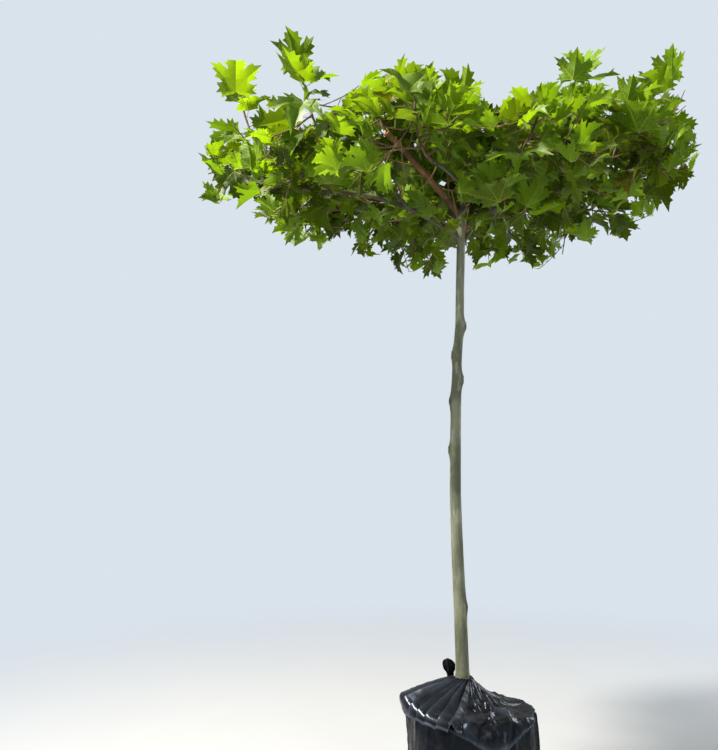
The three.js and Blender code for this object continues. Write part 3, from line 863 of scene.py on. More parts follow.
def grow_leaf(dice, sizes, shoot, share, turn, upright, crowning, scale):
    """A leaf in one pose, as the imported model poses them."""
    along_twig = shoot.line.direction(share)
    across = along_twig.cross(UP)
    if across.length < 0.05:
        across = Vector((1, 0, 0))
    across = across.normalized()
    across.rotate(Quaternion(along_twig, turn))
    lean = math.radians(dice.between(*(UPRIGHT_LEAN if upright else SIDE_LEAN)))
    out = (along_twig * math.cos(lean) + across * math.sin(lean)).normalized()
    heading = math.atan2(out.y, out.x)
    raised = math.radians(dice.between(*(UPRIGHT_RISE if upright else SIDE_RISE)))
    if crowning:
        raised = math.radians(dice.between(*CROWNING_RISE))
        heading = math.radians(dice.between(*CROWNING_HEADING)) * (1 if dice() < 0.6 else -1)
    along = Vector((math.cos(heading), math.sin(heading), 0)) * math.cos(raised)
    along.z = math.sin(raised)
    side = Vector((math.sin(heading), -math.cos(heading), 0))
    twist = math.radians(dice.between(*BLADE_TWIST))
    side.rotate(Quaternion(along, twist * (CROWNING_TWIST if crowning else 1)))
    above = side.cross(along)
    root = shoot.line.at(share)
    length = sizes.stalk * scale * dice.between(*STALK_LENGTH)
    bend = root + out * length * 0.62
    foot = bend + (out * 0.35 + along * 0.65).normalized() * length * 0.38
    stalk = arc(root, bend, foot, STALK_STEPS)
    fold = math.radians(dice.between(*BLADE_FOLD)) * (CROWNING_FOLD if crowning else 1)
    droop = dice.between(*BLADE_DROOP) * (1 if dice() < 0.8 else -0.7)
    blade = bend_blade(dice, fold, droop, dice.between(*BLADE_CURL)) * sizes.blade * scale
    axes = np.array([side, along, above])
    return stalk, blade @ axes + np.array(foot)


def tone_of(dice, shoot, share, upright):
    """The tone of a leaf: young at the shoots' tips, and the deep tone, which paints shade, mostly
    inside the crown.
    """
    if upright:
        shares = {"young": 0.5, "bright": 0.4, "mid": 0.1}
    elif shoot.order == 0:
        shares = {"bright": 0.4, "mid": 0.4, "deep": 0.2}
    # Leaves on the inner half of a twig get the deep tone's painted shade more often.
    elif share < 0.5:
        shares = {"mid": 0.4, "deep": 0.38, "bright": 0.12, "pale": 0.06, "rusty": 0.04}
    else:
        shares = {
            "bright": 0.36, "mid": 0.33, "young": 0.1, "deep": 0.12, "pale": 0.07, "rusty": 0.02,
        }
    drawn = dice()
    for tone, part in shares.items():
        drawn -= part
        if drawn < 0:
            return tone
    return "mid"


class Crowd:
    """The leaves placed so far, so that a new one can be tried against them."""

    def __init__(self):
        self.centres = np.zeros((0, 3))
        self.reaches = np.zeros(0)
        self.trees = []

    def meets(self, centre, reach, tree):
        """Whether a leaf cuts through one that is placed already."""
        if not self.trees:
            return False
        gap = np.linalg.norm(self.centres - centre, axis=1)
        near = np.nonzero(gap < self.reaches + reach)[0]
        return any(self.trees[i].overlap(tree) for i in near)

    def add(self, centre, reach, tree):
        """Place a leaf for good."""
        self.centres = np.vstack([self.centres, centre])
        self.reaches = np.append(self.reaches, reach)
        self.trees.append(tree)


def keeps_in(blade, mass, overlap, leading):
    """Whether a blade is inside its mass's space and leaves the pruned bough in view."""
    if blade[:, 2].max() > MASSES[mass][4] + TIPS_OVER:
        return False
    points = [Vector(point) for point in blade[::3]]
    if any(hides_pruned(point) for point in points):
        return False
    return all(in_space(point, mass, overlap, leading) for point in points)


@cache
def crown_leaves():
    """Every leaf of the crown, in the first of a few poses in which it touches nothing.

    The leaves of the leading shoots come first, and the rest fill the space between them.
    """
    sizes = bpy.context.scene.plane_tree_sizes
    _, triangles, _ = flat_leaf()
    crowd = Crowd()
    leaves = []
    for k, shoot in enumerate(sorted(crown_shoots(), key=lambda shoot: shoot.order > 0)):
        dice = Dice(SEED * 7 + k)
        first = STEM_LEAVES_FROM if shoot.order == 0 else TWIG_LEAVES_FROM
        count = max(1, round((1 - first) * shoot.line.length / sizes.leaf_spacing))
        turn = dice() * 2 * math.pi
        for j in range(count + 1):
            share = lerp(first, LEAVES_UNTIL, j / count)
            upright = count - j < UPRIGHT_LEAVES
            tone = tone_of(dice, shoot, share, upright)
            crowning = shoot.order == 0 and j == count
            leaf = place_leaf(dice, sizes, shoot, share, turn, upright, crowning, crowd, triangles)
            if leaf:
                stalk, blade, scale = leaf
                leaves.append(Leaf(stalk, blade, tone, scale, dice()))
            turn += GOLDEN_ANGLE
    return leaves


def place_leaf(dice, sizes, shoot, share, turn, upright, crowning, crowd, triangles):
    """A leaf's stalk, blade and scale in the first pose that fits, or none."""
    leading = shoot.order == 0
    tries = sizes.leaf_tries * (LEADING_TRIES if leading else 1)
    for attempt in range(tries):
        largest = lerp(*LARGEST_SCALE, attempt / tries)
        scale = lerp(LEAST_SCALE, largest, dice())
        if leading:
            scale = lerp(CROWNING_SCALE if crowning else LEADING_SCALE, LEADING_LARGEST, dice())
        turned = turn + attempt * TRY_TURN
        stalk, blade = grow_leaf(dice, sizes, shoot, share, turned, upright, crowning, scale)
        if not keeps_in(blade, shoot.mass, sizes.overlap, leading):
            continue
        centre = blade.mean(axis=0)
        reach = np.linalg.norm(blade - centre, axis=1).max()
        tree = BVHTree.FromPolygons([tuple(p) for p in blade], triangles)
        if crowd.meets(centre, reach, tree):
            continue
        crowd.add(centre, reach, tree)
        return stalk, blade, scale
    return None


def new_piece(name, points, faces):
    """A mesh object from its corners and faces."""
    mesh = bpy.data.meshes.new(name)
    mesh.from_pydata([tuple(p) for p in points], [], faces)
    piece = bpy.data.objects.new(name, mesh)
    bpy.context.scene.collection.objects.link(piece)
    mesh.shade_smooth()
    return piece


def tubes(name, runs, resolution):
    """One mesh of round limbs, each along its points with a radius at each of them."""
    bpy.ops.object.select_all(action="DESELECT")
    data = bpy.data.curves.new(name, "CURVE")
    data.dimensions = "3D"
    data.bevel_depth = 1.0
    data.bevel_resolution = resolution
    data.use_fill_caps = True
    for points, radii in runs:
        spline = data.splines.new("POLY")
        spline.points.add(len(points) - 1)
        for place, point, radius in zip(spline.points, points, radii):
            place.co = (*point, 1)
            place.radius = radius
    piece = bpy.data.objects.new(name, data)
    bpy.context.scene.collection.objects.link(piece)
    piece.select_set(True)
    bpy.context.view_layer.objects.active = piece
    bpy.ops.object.convert(target="MESH")
    bpy.ops.object.mode_set(mode="EDIT")
    bpy.ops.mesh.select_all(action="SELECT")
    bpy.ops.mesh.remove_doubles(threshold=SAME_PLACE)
    bpy.ops.mesh.normals_make_consistent(inside=False)
    bpy.ops.object.mode_set(mode="OBJECT")
    bpy.ops.object.shade_smooth()
    return piece


def scar_at(heading, height):
    """How far the scars push the bark out at a place, and how much of it is healed wood."""
    total = 0.0
    healed = 0.0
    for at, facing, reach in SCARS:
        up = (height - at) / SCAR_HEIGHT
        across = turn_between(heading, math.radians(facing)) / SCAR_WIDTH
        near = up**2 + across**2
        ring = math.exp(-(((math.sqrt(near) - SCAR_RING[0]) / SCAR_RING[1]) ** 2))
        pit = PIT_DEPTH * math.exp(-near * PIT_NARROWS)
        total += reach * (math.exp(-near) + RING_HEIGHT * ring - pit)
        healed = max(healed, math.exp(-near * HEALED_NARROWS), RING_HEALED * ring)
    return total, healed


def finish_piece(piece, slot, material, *nodes):
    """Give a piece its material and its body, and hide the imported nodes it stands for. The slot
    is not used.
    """
    piece.data.materials.append(material)
    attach(piece, "root")
    if nodes:
        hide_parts(*nodes)


def principled(name):
    """A new material, the sums in its node tree, and its Principled BSDF."""
    material = bpy.data.materials.new(name)
    material.use_nodes = True
    return material, Nodes(material.node_tree), material.node_tree.nodes["Principled BSDF"]


def rgba(value):
    """A colour with full opacity."""
    return (*value, 1)


class Nodes:
    """Adds shader nodes to a tree; a value is either a plain one or another node's output."""

    def __init__(self, tree):
        self.tree = tree

    def feed(self, socket, value):
        """Link a node's output to a socket, or set the socket's own value."""
        if isinstance(value, bpy.types.NodeSocket):
            self.tree.links.new(value, socket)
        else:
            socket.default_value = value

    def add(self, kind, **inputs):
        """A new node with its inputs fed."""
        made = self.tree.nodes.new(kind)
        for key, value in inputs.items():
            self.feed(made.inputs[key.replace("_", " ")], value)
        return made

    def sum(self, operation, *values):
        """The result of one sum."""
        made = self.tree.nodes.new("ShaderNodeMath")
        made.operation = operation
        for socket, value in zip(made.inputs, values):
            self.feed(socket, value)
        return made.outputs[0]

    def spread(self, value, low, high, to_low=0.0, to_high=1.0):
        """A value's place between two others, eased at both ends."""
        made = self.tree.nodes.new("ShaderNodeMapRange")
        made.interpolation_type = "SMOOTHSTEP"
        for socket, given in zip(made.inputs, (value, low, high, to_low, to_high)):
            self.feed(socket, given)
        return made.outputs[0]

    def mix(self, share, first, second):
        """One colour turned into another by a mask."""
        made = self.tree.nodes.new("ShaderNodeMix")
        made.data_type = "RGBA"
        sockets = [made.inputs[i] for i in (0, 6, 7)]
        for socket, given in zip(sockets, (share, first, second)):
            self.feed(socket, rgba(given) if isinstance(given, tuple) else given)
        return made.outputs[2]

    def stretched(self, place, scale):
        """A place scaled along each axis, which draws a pattern out."""
        made = self.add("ShaderNodeMapping", Vector=place)
        made.inputs["Scale"].default_value = scale
        return made.outputs["Vector"]

    def noise(self, place, scale, detail=3.0, roughness=0.55):
        """A cloudy pattern."""
        made = self.add("ShaderNodeTexNoise", Vector=place, Scale=scale, Detail=detail,
                        Roughness=roughness)
        return made.outputs[0]

    def cells(self, place, scale, feature="F1"):
        """A pattern of cells: how far a place is from a cell's middle, or from its edge."""
        made = self.add("ShaderNodeTexVoronoi", Vector=place, Scale=scale)
        made.feature = feature
        return made.outputs["Distance"]

    def object_place(self):
        """A place in the piece's own axes, in metres."""
        return self.add("ShaderNodeTexCoord").outputs["Object"]

    def attribute(self, name):
        """A value that is stored at the piece's corners."""
        made = self.tree.nodes.new("ShaderNodeAttribute")
        made.attribute_name = name
        return made.outputs["Fac"]

    def bump(self, height, strength, distance):
        """The normal of a surface with a fine relief."""
        made = self.add("ShaderNodeBump", Height=height, Strength=strength, Distance=distance)
        return made.outputs["Normal"]

    def effect(self, name, **inputs):
        """The outputs of a shared effect."""
        made = self.tree.nodes.new("ShaderNodeGroup")
        made.node_tree = EFFECTS[name]()
        for key, value in inputs.items():
            self.feed(made.inputs[key], value)
        return made.outputs


def new_effect(name, inputs, outputs):
    """An empty node group, the sums in it, and its input and output nodes."""
    tree = bpy.data.node_groups.new(name, "ShaderNodeTree")
    for label, kind in inputs:
        tree.interface.new_socket(label, in_out="INPUT", socket_type="NodeSocket" + kind)
    for label, kind in outputs:
        tree.interface.new_socket(label, in_out="OUTPUT", socket_type="NodeSocket" + kind)
    return tree, Nodes(tree), tree.nodes.new("NodeGroupInput"), tree.nodes.new("NodeGroupOutput")


@cache
def leaf_veins():
    """Main veins, the side veins between them, a fine net and the margin, from the blade's map."""
    outputs = [(label, "Float") for label in ("Main", "Side", "Margin", "Height")]
    tree, nodes, given, result = new_effect("leaf_veins", [("Blade", "Vector")], outputs)
    axes = nodes.add("ShaderNodeSeparateXYZ", Vector=given.outputs["Blade"])
    u, v = (
        nodes.sum("DIVIDE", nodes.sum("SUBTRACT", axes.outputs[i], LEAF_UV_FOOT[i]), LEAF_UV_SCALE)
        for i in (0, 1)
    )
    u = nodes.sum("ABSOLUTE", u)
    main = 0.0
    nearest = None
    for (x, y), _ in (VEINS[0], VEINS[1], VEINS[3]):
        length = math.hypot(x, y)
        dx, dy = x / length, y / length
        along = nodes.sum("ADD", nodes.sum("MULTIPLY", u, dx), nodes.sum("MULTIPLY", v, dy))
        away = nodes.sum("SUBTRACT", nodes.sum("MULTIPLY", u, dy), nodes.sum("MULTIPLY", v, dx))
        away = nodes.sum("ABSOLUTE", away)
        half = nodes.spread(along, 0, length, VEIN_HALF, VEIN_HALF * 0.3)
        line = nodes.spread(nodes.sum("DIVIDE", away, half), 1.3, 0.6)
        line = nodes.sum("MULTIPLY", line, nodes.sum("GREATER_THAN", along, 0.0))
        main = nodes.sum("MAXIMUM", main, line)
        if nearest is None:
            nearest, place = away, along
        else:
            closer = nodes.sum("LESS_THAN", away, nearest)
            place = nodes.sum(
                "ADD", place,
                nodes.sum("MULTIPLY", closer, nodes.sum("SUBTRACT", along, place)),
            )
            nearest = nodes.sum("MINIMUM", nearest, away)
    run = nodes.sum("SUBTRACT", place, nodes.sum("MULTIPLY", nearest, SIDE_VEIN_SLANT))
    step = nodes.sum("FRACT", nodes.sum("DIVIDE", run, SIDE_VEIN_STEP))
    off = nodes.sum("ABSOLUTE", nodes.sum("SUBTRACT", step, 0.5))
    side = nodes.sum("MULTIPLY", nodes.spread(off, 0.10, 0.02), nodes.spread(nearest, 0.3, 0.1))
    net = nodes.cells(given.outputs["Blade"], 38, "DISTANCE_TO_EDGE")
    from_middle = nodes.sum("SUBTRACT", v, LOBES_MEET)
    reach = nodes.sum("SQRT", nodes.sum("ADD", nodes.sum("POWER", u, 2),
                                        nodes.sum("MULTIPLY", from_middle, from_middle)))
    puff = nodes.sum("SUBTRACT", nodes.spread(off, 0, 0.3), main)
    height = nodes.sum("ADD", nodes.sum("MULTIPLY", puff, 0.6),
                       nodes.spread(net, 0, 0.12, 0, 0.25))
    for label, value in (
        ("Main", main), ("Side", side), ("Margin", nodes.spread(reach, 0.3, 0.85)),
        ("Height", height),
    ):
        tree.links.new(value, result.inputs[label])
    return tree


@cache
def bark_relief():
    """Smooth bark: broad patches, flakes, streaks along the stem, pores and a height."""
    outputs = [(label, "Float") for label in ("Patch", "Flake", "Streak", "Pore", "Height")]
    inputs = [("Place", "Vector"), ("Fineness", "Float")]
    tree, nodes, given, result = new_effect("bark_relief", inputs, outputs)
    place, fineness = given.outputs["Place"], given.outputs["Fineness"]

    def scaled(value):
        """A pattern's scale, finer on thinner wood."""
        return nodes.sum("MULTIPLY", fineness, value)

    long_way = nodes.stretched(place, (1, 1, 0.3))
    patch = nodes.spread(nodes.noise(long_way, scaled(14), 4), 0.42, 0.62)
    flake = nodes.spread(nodes.noise(long_way, scaled(31), 5, 0.62), 0.56, 0.64)
    streak = nodes.noise(nodes.stretched(place, (1, 1, 0.06)), scaled(120), 3)
    pores = nodes.cells(nodes.stretched(place, (0.55, 0.55, 1)), scaled(95))
    pore = nodes.sum("MULTIPLY", nodes.spread(pores, 0.22, 0.1),
                     nodes.spread(nodes.noise(place, scaled(20)), 0.45, 0.6))
    grain = nodes.noise(place, scaled(260), 4, 0.65)
    height = nodes.sum("ADD", nodes.sum("MULTIPLY", streak, 0.6), nodes.sum("MULTIPLY", grain, 0.3))
    height = nodes.sum("ADD", height, nodes.sum("MULTIPLY", flake, -0.25))
    height = nodes.sum("ADD", height, nodes.sum("MULTIPLY", pore, 0.4))
    for label, value in (
        ("Patch", patch), ("Flake", flake), ("Streak", streak), ("Pore", pore),
        ("Height", height),
    ):
        tree.links.new(value, result.inputs[label])
    return tree


EFFECTS = {"leaf_veins": leaf_veins, "bark_relief": bark_relief}


def leaf_material(tone, colours):
    """A blade that glows when lit from behind, paler below, with veins and a tinted margin."""
    top, under, glow, margin, margin_share = LEAF_TONES[tone]
    material, nodes, surface = principled("leaf_" + tone)
    blade = nodes.add("ShaderNodeUVMap")
    blade.uv_map = "blade"
    veins = nodes.effect("leaf_veins", Blade=blade.outputs["UV"])
    shade = nodes.attribute("leaf_shade")
    blotch = nodes.noise(nodes.object_place(), 38, 3)
    depth = nodes.sum("ADD", nodes.sum("MULTIPLY", shade, 0.7), nodes.sum("MULTIPLY", blotch, 0.5))
    darker = tuple(part * 0.55 for part in top)
    face = nodes.mix(nodes.spread(depth, 0.2, 0.95), darker, top)
    edge = nodes.sum("MULTIPLY", veins["Margin"], nodes.spread(blotch, 0.4, 0.65))
    face = nodes.mix(nodes.sum("MULTIPLY", edge, margin_share), face, margin)
    face = nodes.mix(nodes.sum("MULTIPLY", veins["Side"], 0.3), face, tuple(colours.vein))
    face = nodes.mix(nodes.sum("MULTIPLY", veins["Main"], 0.85), face, tuple(colours.vein))
    pale_vein = tuple(part * 1.25 for part in colours.vein)
    below = nodes.mix(nodes.sum("MULTIPLY", veins["Side"], 0.35), under, pale_vein)
    below = nodes.mix(nodes.sum("MULTIPLY", veins["Main"], 0.8), below, pale_vein)
    facing = nodes.add("ShaderNodeNewGeometry").outputs["Backfacing"]
    nodes.feed(surface.inputs["Base Color"], nodes.mix(facing, face, below))
    nodes.feed(surface.inputs["Roughness"], nodes.spread(blotch, 0.3, 0.7, 0.36, 0.52))
    surface.inputs["Specular IOR Level"].default_value = 0.12
    upper = nodes.sum("SUBTRACT", 1.0, facing)
    waxy = nodes.sum("MULTIPLY", upper, nodes.spread(shade, 0, 1, *WAX))
    nodes.feed(surface.inputs["Coat Weight"], waxy)
    surface.inputs["Coat Roughness"].default_value = WAX_ROUGHNESS
    nodes.feed(surface.inputs["Normal"], nodes.bump(veins["Height"], 0.4, 0.002))
    through = nodes.add("ShaderNodeBsdfTranslucent")
    dim = tuple(part * 0.6 for part in glow)
    nodes.feed(through.inputs["Color"], nodes.mix(nodes.spread(shade, 0, 1), dim, glow))
    blend = nodes.add("ShaderNodeMixShader", Fac=LEAF_GLOW)
    nodes.tree.links.new(surface.outputs["BSDF"], blend.inputs[1])
    nodes.tree.links.new(through.outputs["BSDF"], blend.inputs[2])
    out = nodes.tree.nodes["Material Output"]
    nodes.tree.links.new(blend.outputs["Shader"], out.inputs["Surface"])
    return material


def bark_material(name, light, dark, flake, fineness, relief):
    """Bark in patches of two colours with paler flakes, fine streaks and pores."""
    material, nodes, surface = principled(name)
    place = nodes.object_place()
    bark = nodes.effect("bark_relief", Place=place, Fineness=fineness)
    streak = nodes.spread(bark["Streak"], 0.35, 0.75, 0, 0.45)
    face = nodes.mix(bark["Patch"], light, dark)
    face = nodes.mix(nodes.sum("MULTIPLY", bark["Flake"], 0.6), face, flake)
    face = nodes.mix(streak, face, dark)
    face = nodes.mix(nodes.sum("MULTIPLY", bark["Pore"], 0.35), face, flake)
    nodes.feed(surface.inputs["Base Color"], face)
    nodes.feed(surface.inputs["Roughness"], nodes.spread(bark["Patch"], 0, 1, 0.62, 0.8))
    surface.inputs["Specular IOR Level"].default_value = 0.3
    nodes.feed(surface.inputs["Normal"], nodes.bump(bark["Height"], 0.7, relief))
    return material, nodes, surface, face, place


def stalk_material(colours):
    """Leaf stalks, green with redder stretches."""
    material, nodes, surface = principled("leaf_stalk")
    blush = nodes.spread(nodes.noise(nodes.object_place(), 21, 2), 0.42, 0.62)
    face = nodes.mix(blush, tuple(colours.stalk), tuple(colours.stalk_blush))
    nodes.feed(surface.inputs["Base Color"], face)
    surface.inputs["Roughness"].default_value = 0.45
    return material


class PLANETREE_OT_trunk(bpy.types.Operator):
    """Model the trunk with its scars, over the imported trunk"""

    bl_idname = "plane_tree.trunk"
    bl_label = "Trunk"

    def execute(self, context):
        """Build the trunk's mesh and mark its healed wood."""
        colours = context.scene.plane_tree_colours
        heights = np.linspace(TRUNK_FOOT, TRUNK_FORK, TRUNK_RINGS)
        points = [trunk_point(height) for height in heights]
        radii = [station(height, 3) for height in heights]
        piece = tubes("trunk_bark", [(points, radii)], TRUNK_SIDES)
        mesh = piece.data
        healed = []
        for vertex in mesh.vertices:
            centre = trunk_point(vertex.co.z)
            out = (vertex.co - centre).normalized()
            reach, scar = scar_at(math.atan2(out.y, out.x), vertex.co.z)
            lumps = noise.noise(vertex.co * 9) + 0.5 * noise.noise(vertex.co * 27)
            vertex.co += out * (reach + TRUNK_LUMPS * lumps)
            healed.append(scar)
        mesh.attributes.new("scar", "FLOAT", "POINT").data.foreach_set("value", healed)
        finish_piece(piece, "bark", self.material(colours), "trunk")
        return {"FINISHED"}

    def material(self, colours):
        """Bark with painted shade that darkens it towards the foot, and dark healed wood on the
        scars.
        """
        material, nodes, surface, face, place = bark_material(
            "trunk_bark", tuple(colours.bark), tuple(colours.bark_dark), tuple(colours.flake),
            1.0, 0.0012,
        )
        height = nodes.add("ShaderNodeSeparateXYZ", Vector=place).outputs["Z"]
        # Painted shade: the bark darkens towards the foot, in patches.
        low = nodes.spread(height, 1.15, TRUNK_FOOT, 0, 0.55)
        painted_shade_low = nodes.sum("MULTIPLY", low, nodes.spread(nodes.noise(place, 8), 0.3, 0.6))
        face = nodes.mix(painted_shade_low, face, tuple(colours.bark_dark))
        healed = nodes.spread(nodes.attribute("scar"), 0.1, 0.75)
        face = nodes.mix(healed, face, tuple(colours.scar))
        nodes.feed(surface.inputs["Base Color"], face)
        return material


class PLANETREE_OT_boughs(bpy.types.Operator):
    """Model the boughs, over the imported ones, one of them pruned to a stub"""

    bl_idname = "plane_tree.boughs"
    bl_label = "Boughs"

    def execute(self, context):
        """Build the boughs as one mesh, and the pruned one with its stub."""
        colours = context.scene.plane_tree_colours
        pruned = limb_run(PRUNED_LIMB)
        others = [limb_run(name) for name in LIMBS if name != PRUNED_LIMB]
        boughs = tubes("boughs", others, 4)
        roughen(boughs, BOUGH_LUMPS)
        material, *_ = bark_material(
            "bough_bark", tuple(colours.limb), tuple(colours.bark_dark), tuple(colours.twig),
            1.6, 0.001,
        )
        nodes_left = [name for name in BOUGH_NODES if name != "bough_" + PRUNED_LIMB]
        finish_piece(boughs, "limb", material, *nodes_left)
        bough = tubes("pruned_bough", [pruned], 5)
        roughen(bough, BOUGH_LUMPS)
        material, *_ = bark_material(
            "pruned_bark", tuple(colours.pruned), tuple(colours.twig), tuple(colours.cut),
            1.4, 0.0012,
        )
        finish_piece(bough, "limb", material, "bough_" + PRUNED_LIMB)
        self.stub(colours)
        return {"FINISHED"}

    def stub(self, colours):
        """The stub beyond the pruned bough's tip, cut across with a rim of healing bark."""
        line = limb_lines()[PRUNED_LIMB]
        way = line.direction(1)
        start = line.at(1)
        points = [start + way * along for along, _ in STUB_RINGS]
        radii = [radius for _, radius in STUB_RINGS]
        piece = tubes("pruning_stub", [(points, radii)], 5)
        material, nodes, surface, face, _ = bark_material(
            "stub_wood", tuple(colours.pruned), tuple(colours.twig), tuple(colours.cut), 1.4,
            0.0012,
        )
        cut = piece.data.attributes.new("cut", "FLOAT", "POINT")
        for vertex, mark in zip(piece.data.vertices, cut.data):
            offset = vertex.co - start
            along = offset.dot(way)
            inside = (offset - way * along).length < CUT_RADIUS
            mark.value = float(along > CUT_FROM and inside)
        nodes.feed(surface.inputs["Base Color"],
                   nodes.mix(nodes.attribute("cut"), face, tuple(colours.cut)))
        finish_piece(piece, "limb", material)


def limb_run(name):
    """A limb's points and radii, with a collar where it leaves its parent."""
    line = limb_lines()[name]
    _, _, _, radius, end, _ = LIMBS[name]
    shares = np.linspace(0, 1, LIMB_RINGS)
    radii = []
    for share in shares:
        collar = 1 + COLLAR * math.exp(-share * line.length / COLLAR_LENGTH)
        radii.append(lerp(radius, end, share) * collar)
    return [line.at(share) for share in shares], radii


def roughen(piece, height):
    """Lumps and knots along a limb, which push its bark out and in."""
    for vertex in piece.data.vertices:
        lumps = noise.noise(vertex.co * 22) + 0.6 * noise.noise(vertex.co * 61)
        vertex.co += vertex.normal * height * lumps


class PLANETREE_OT_twigs(bpy.types.Operator):
    """Grow the twigs of every mass from the limbs' tips"""

    bl_idname = "plane_tree.twigs"
    bl_label = "Twigs"

    def execute(self, context):
        """Build the stems and twigs as one mesh, and the finer shoots as another."""
        colours = context.scene.plane_tree_colours
        dark, bark, green = (
            tuple(shade) for shade in (colours.twig_dark, colours.twig, colours.shoot)
        )
        kinds = (("twigs", (0, 1), 2, bark, dark), ("shoots", (2,), 1, green, bark))
        for name, orders, resolution, light, deep in kinds:
            runs = [self.run(shoot) for shoot in crown_shoots() if shoot.order in orders]
            piece = tubes(name, runs, resolution)
            material, *_ = bark_material(name + "_bark", light, deep, green, 3.0, 0.0005)
            finish_piece(piece, "limb", material, *FOLIAGE_NODES)
        return {"FINISHED"}

    def run(self, shoot):
        """A shoot's points and radii, a little thicker at each bud."""
        count = len(shoot.line.points) - 1
        radii = [
            lerp(shoot.foot, shoot.end, i / count) * (BUD_SWELLS if i % 2 else BUD_BETWEEN)
            for i in range(count + 1)
        ]
        return shoot.line.points, radii


class PLANETREE_OT_leaves(bpy.types.Operator):
    """Hang the leaves on the twigs, joined by tone"""

    bl_idname = "plane_tree.leaves"
    bl_label = "Leaves"

    def execute(self, context):
        """Join the blades of each tone into one mesh."""
        for tone in LEAF_TONES:
            chosen = [leaf for leaf in crown_leaves() if leaf.tone == tone]
            piece = joined_blades("leaves_" + tone, chosen)
            material = leaf_material(tone, context.scene.plane_tree_colours)
            finish_piece(piece, "foliage", material, *FOLIAGE_NODES)
        return {"FINISHED"}


def joined_blades(name, leaves):
    """Many blades as one mesh, each with its place on the UV map and its own shade."""
    flat, triangles, vein_gap = flat_leaf()
    size = len(flat)
    points = np.concatenate([leaf.blade for leaf in leaves])
    faces = [[k * size + i for i in face] for k in range(len(leaves)) for face in triangles]
    piece = new_piece(name, points, faces)
    mesh = piece.data
    layer = mesh.uv_layers.new(name="blade")
    corners = np.zeros(len(mesh.loops), dtype=np.int32)
    mesh.loops.foreach_get("vertex_index", corners)
    places = flat[corners % size] * LEAF_UV_SCALE + np.array(LEAF_UV_FOOT)
    layer.data.foreach_set("uv", places.astype(np.float32).ravel())
    shade = mesh.attributes.new("leaf_shade", "FLOAT", "POINT")
    shades = np.repeat([leaf.shade for leaf in leaves], size)
    shade.data.foreach_set("value", shades.astype(np.float32))
    on_vein = vein_gap < 1e-6
    ends = np.zeros(len(mesh.edges) * 2, dtype=np.int32)
    mesh.edges.foreach_get("vertices", ends)
    crease = mesh.attributes.new("sharp_edge", "BOOLEAN", "EDGE")
    crease.data.foreach_set("value", on_vein[ends.reshape(-1, 2) % size].all(axis=1))
    return piece


class PLANETREE_OT_stalks(bpy.types.Operator):
    """Add the leaf stalks"""

    bl_idname = "plane_tree.stalks"
    bl_label = "Leaf Stalks"

    def execute(self, context):
        """Build every leaf's stalk, joined into one mesh."""
        sizes = context.scene.plane_tree_sizes
        colours = context.scene.plane_tree_colours
        runs = []
        for leaf in crown_leaves():
            thick = sizes.stalk_radius * (0.6 + 0.4 * leaf.size)
            runs.append((leaf.stalk.points, [thick * part for part in STALK_SHAPE]))
        piece = tubes("leaf_stalks", runs, 0)
        finish_piece(piece, "foliage", stalk_material(colours), *FOLIAGE_NODES)
        return {"FINISHED"}


def turn_apart(heading, other):
    """How far headings are from another one, signed, in radians."""
    return (heading - other + math.pi) % (2 * math.pi) - math.pi


def corner_at(heading):
    """How far the rim reaches out at a heading, and how far it is lifted."""
    reach = lift = 0.0
    for at, width, out, up in BALL_CORNERS:
        share = np.exp(-((turn_apart(heading, math.radians(at)) / math.radians(width)) ** 2))
        reach = reach + out * share
        lift = lift + up * share
    return reach, lift


def wall_point(heading, height):
    """A point of the wall, folded upright and drawn out to the rim's corners."""
    radius = np.interp(height, *zip(*BALL_WALL))
    rise = height / BALL_RIM[1]
    reach, lift = corner_at(heading)
    near = rise**8
    out = radius + 0.005 * np.sin(5 * heading + 1) * np.sin(math.pi * rise) + reach * near
    return Vector((math.cos(heading) * out, math.sin(heading) * out, height + lift * near))


def top_point(heading, share, mouth_heading=None):
    """A point of the gathered top, by the share of the way in from the rim to the mouth."""
    reach, lift = corner_at(heading)
    rim = Vector((math.cos(heading), math.sin(heading), 0)) * (BALL_RIM[0] + reach)
    inner = heading if mouth_heading is None else mouth_heading
    mouth = Vector((math.cos(inner), math.sin(inner), 0)) * BALL_MOUTH[0]
    mouth.x += TRUNK_X
    point = rim.lerp(mouth, share)
    hollow = share ** (1.6 + 0.6 * math.cos(heading)) if share > 0 else 0.0
    point.z = lerp(BALL_RIM[1] + lift, BALL_MOUTH[1], hollow)
    return point


def rim_point(heading, share):
    """A point of the rounded rim, from the wall at 0 to the top at 1."""
    reach, lift = corner_at(heading)
    low = wall_point(heading, BALL_RIM[1] - RIM_ROUND)
    high = top_point(heading, RIM_ROUND / (BALL_RIM[0] - BALL_MOUTH[0]))
    corner = Vector((math.cos(heading), math.sin(heading), 0)) * (BALL_RIM[0] + reach)
    corner.z = BALL_RIM[1] + lift
    return low.lerp(corner, share).lerp(corner.lerp(high, share), share)


def collar_point(heading, share):
    """A point of the gathered collar that closes on the trunk."""
    steps, radii, heights = zip(*COLLAR_PROFILE)
    radius = np.interp(share, steps, radii)
    pleat = COLLAR_PLEAT_DEPTH * math.cos(COLLAR_PLEATS * heading) * (1 - share)
    out = Vector((math.cos(heading), math.sin(heading), 0)) * (radius + pleat)
    return Vector((TRUNK_X + out.x, out.y, np.interp(share, steps, heights)))


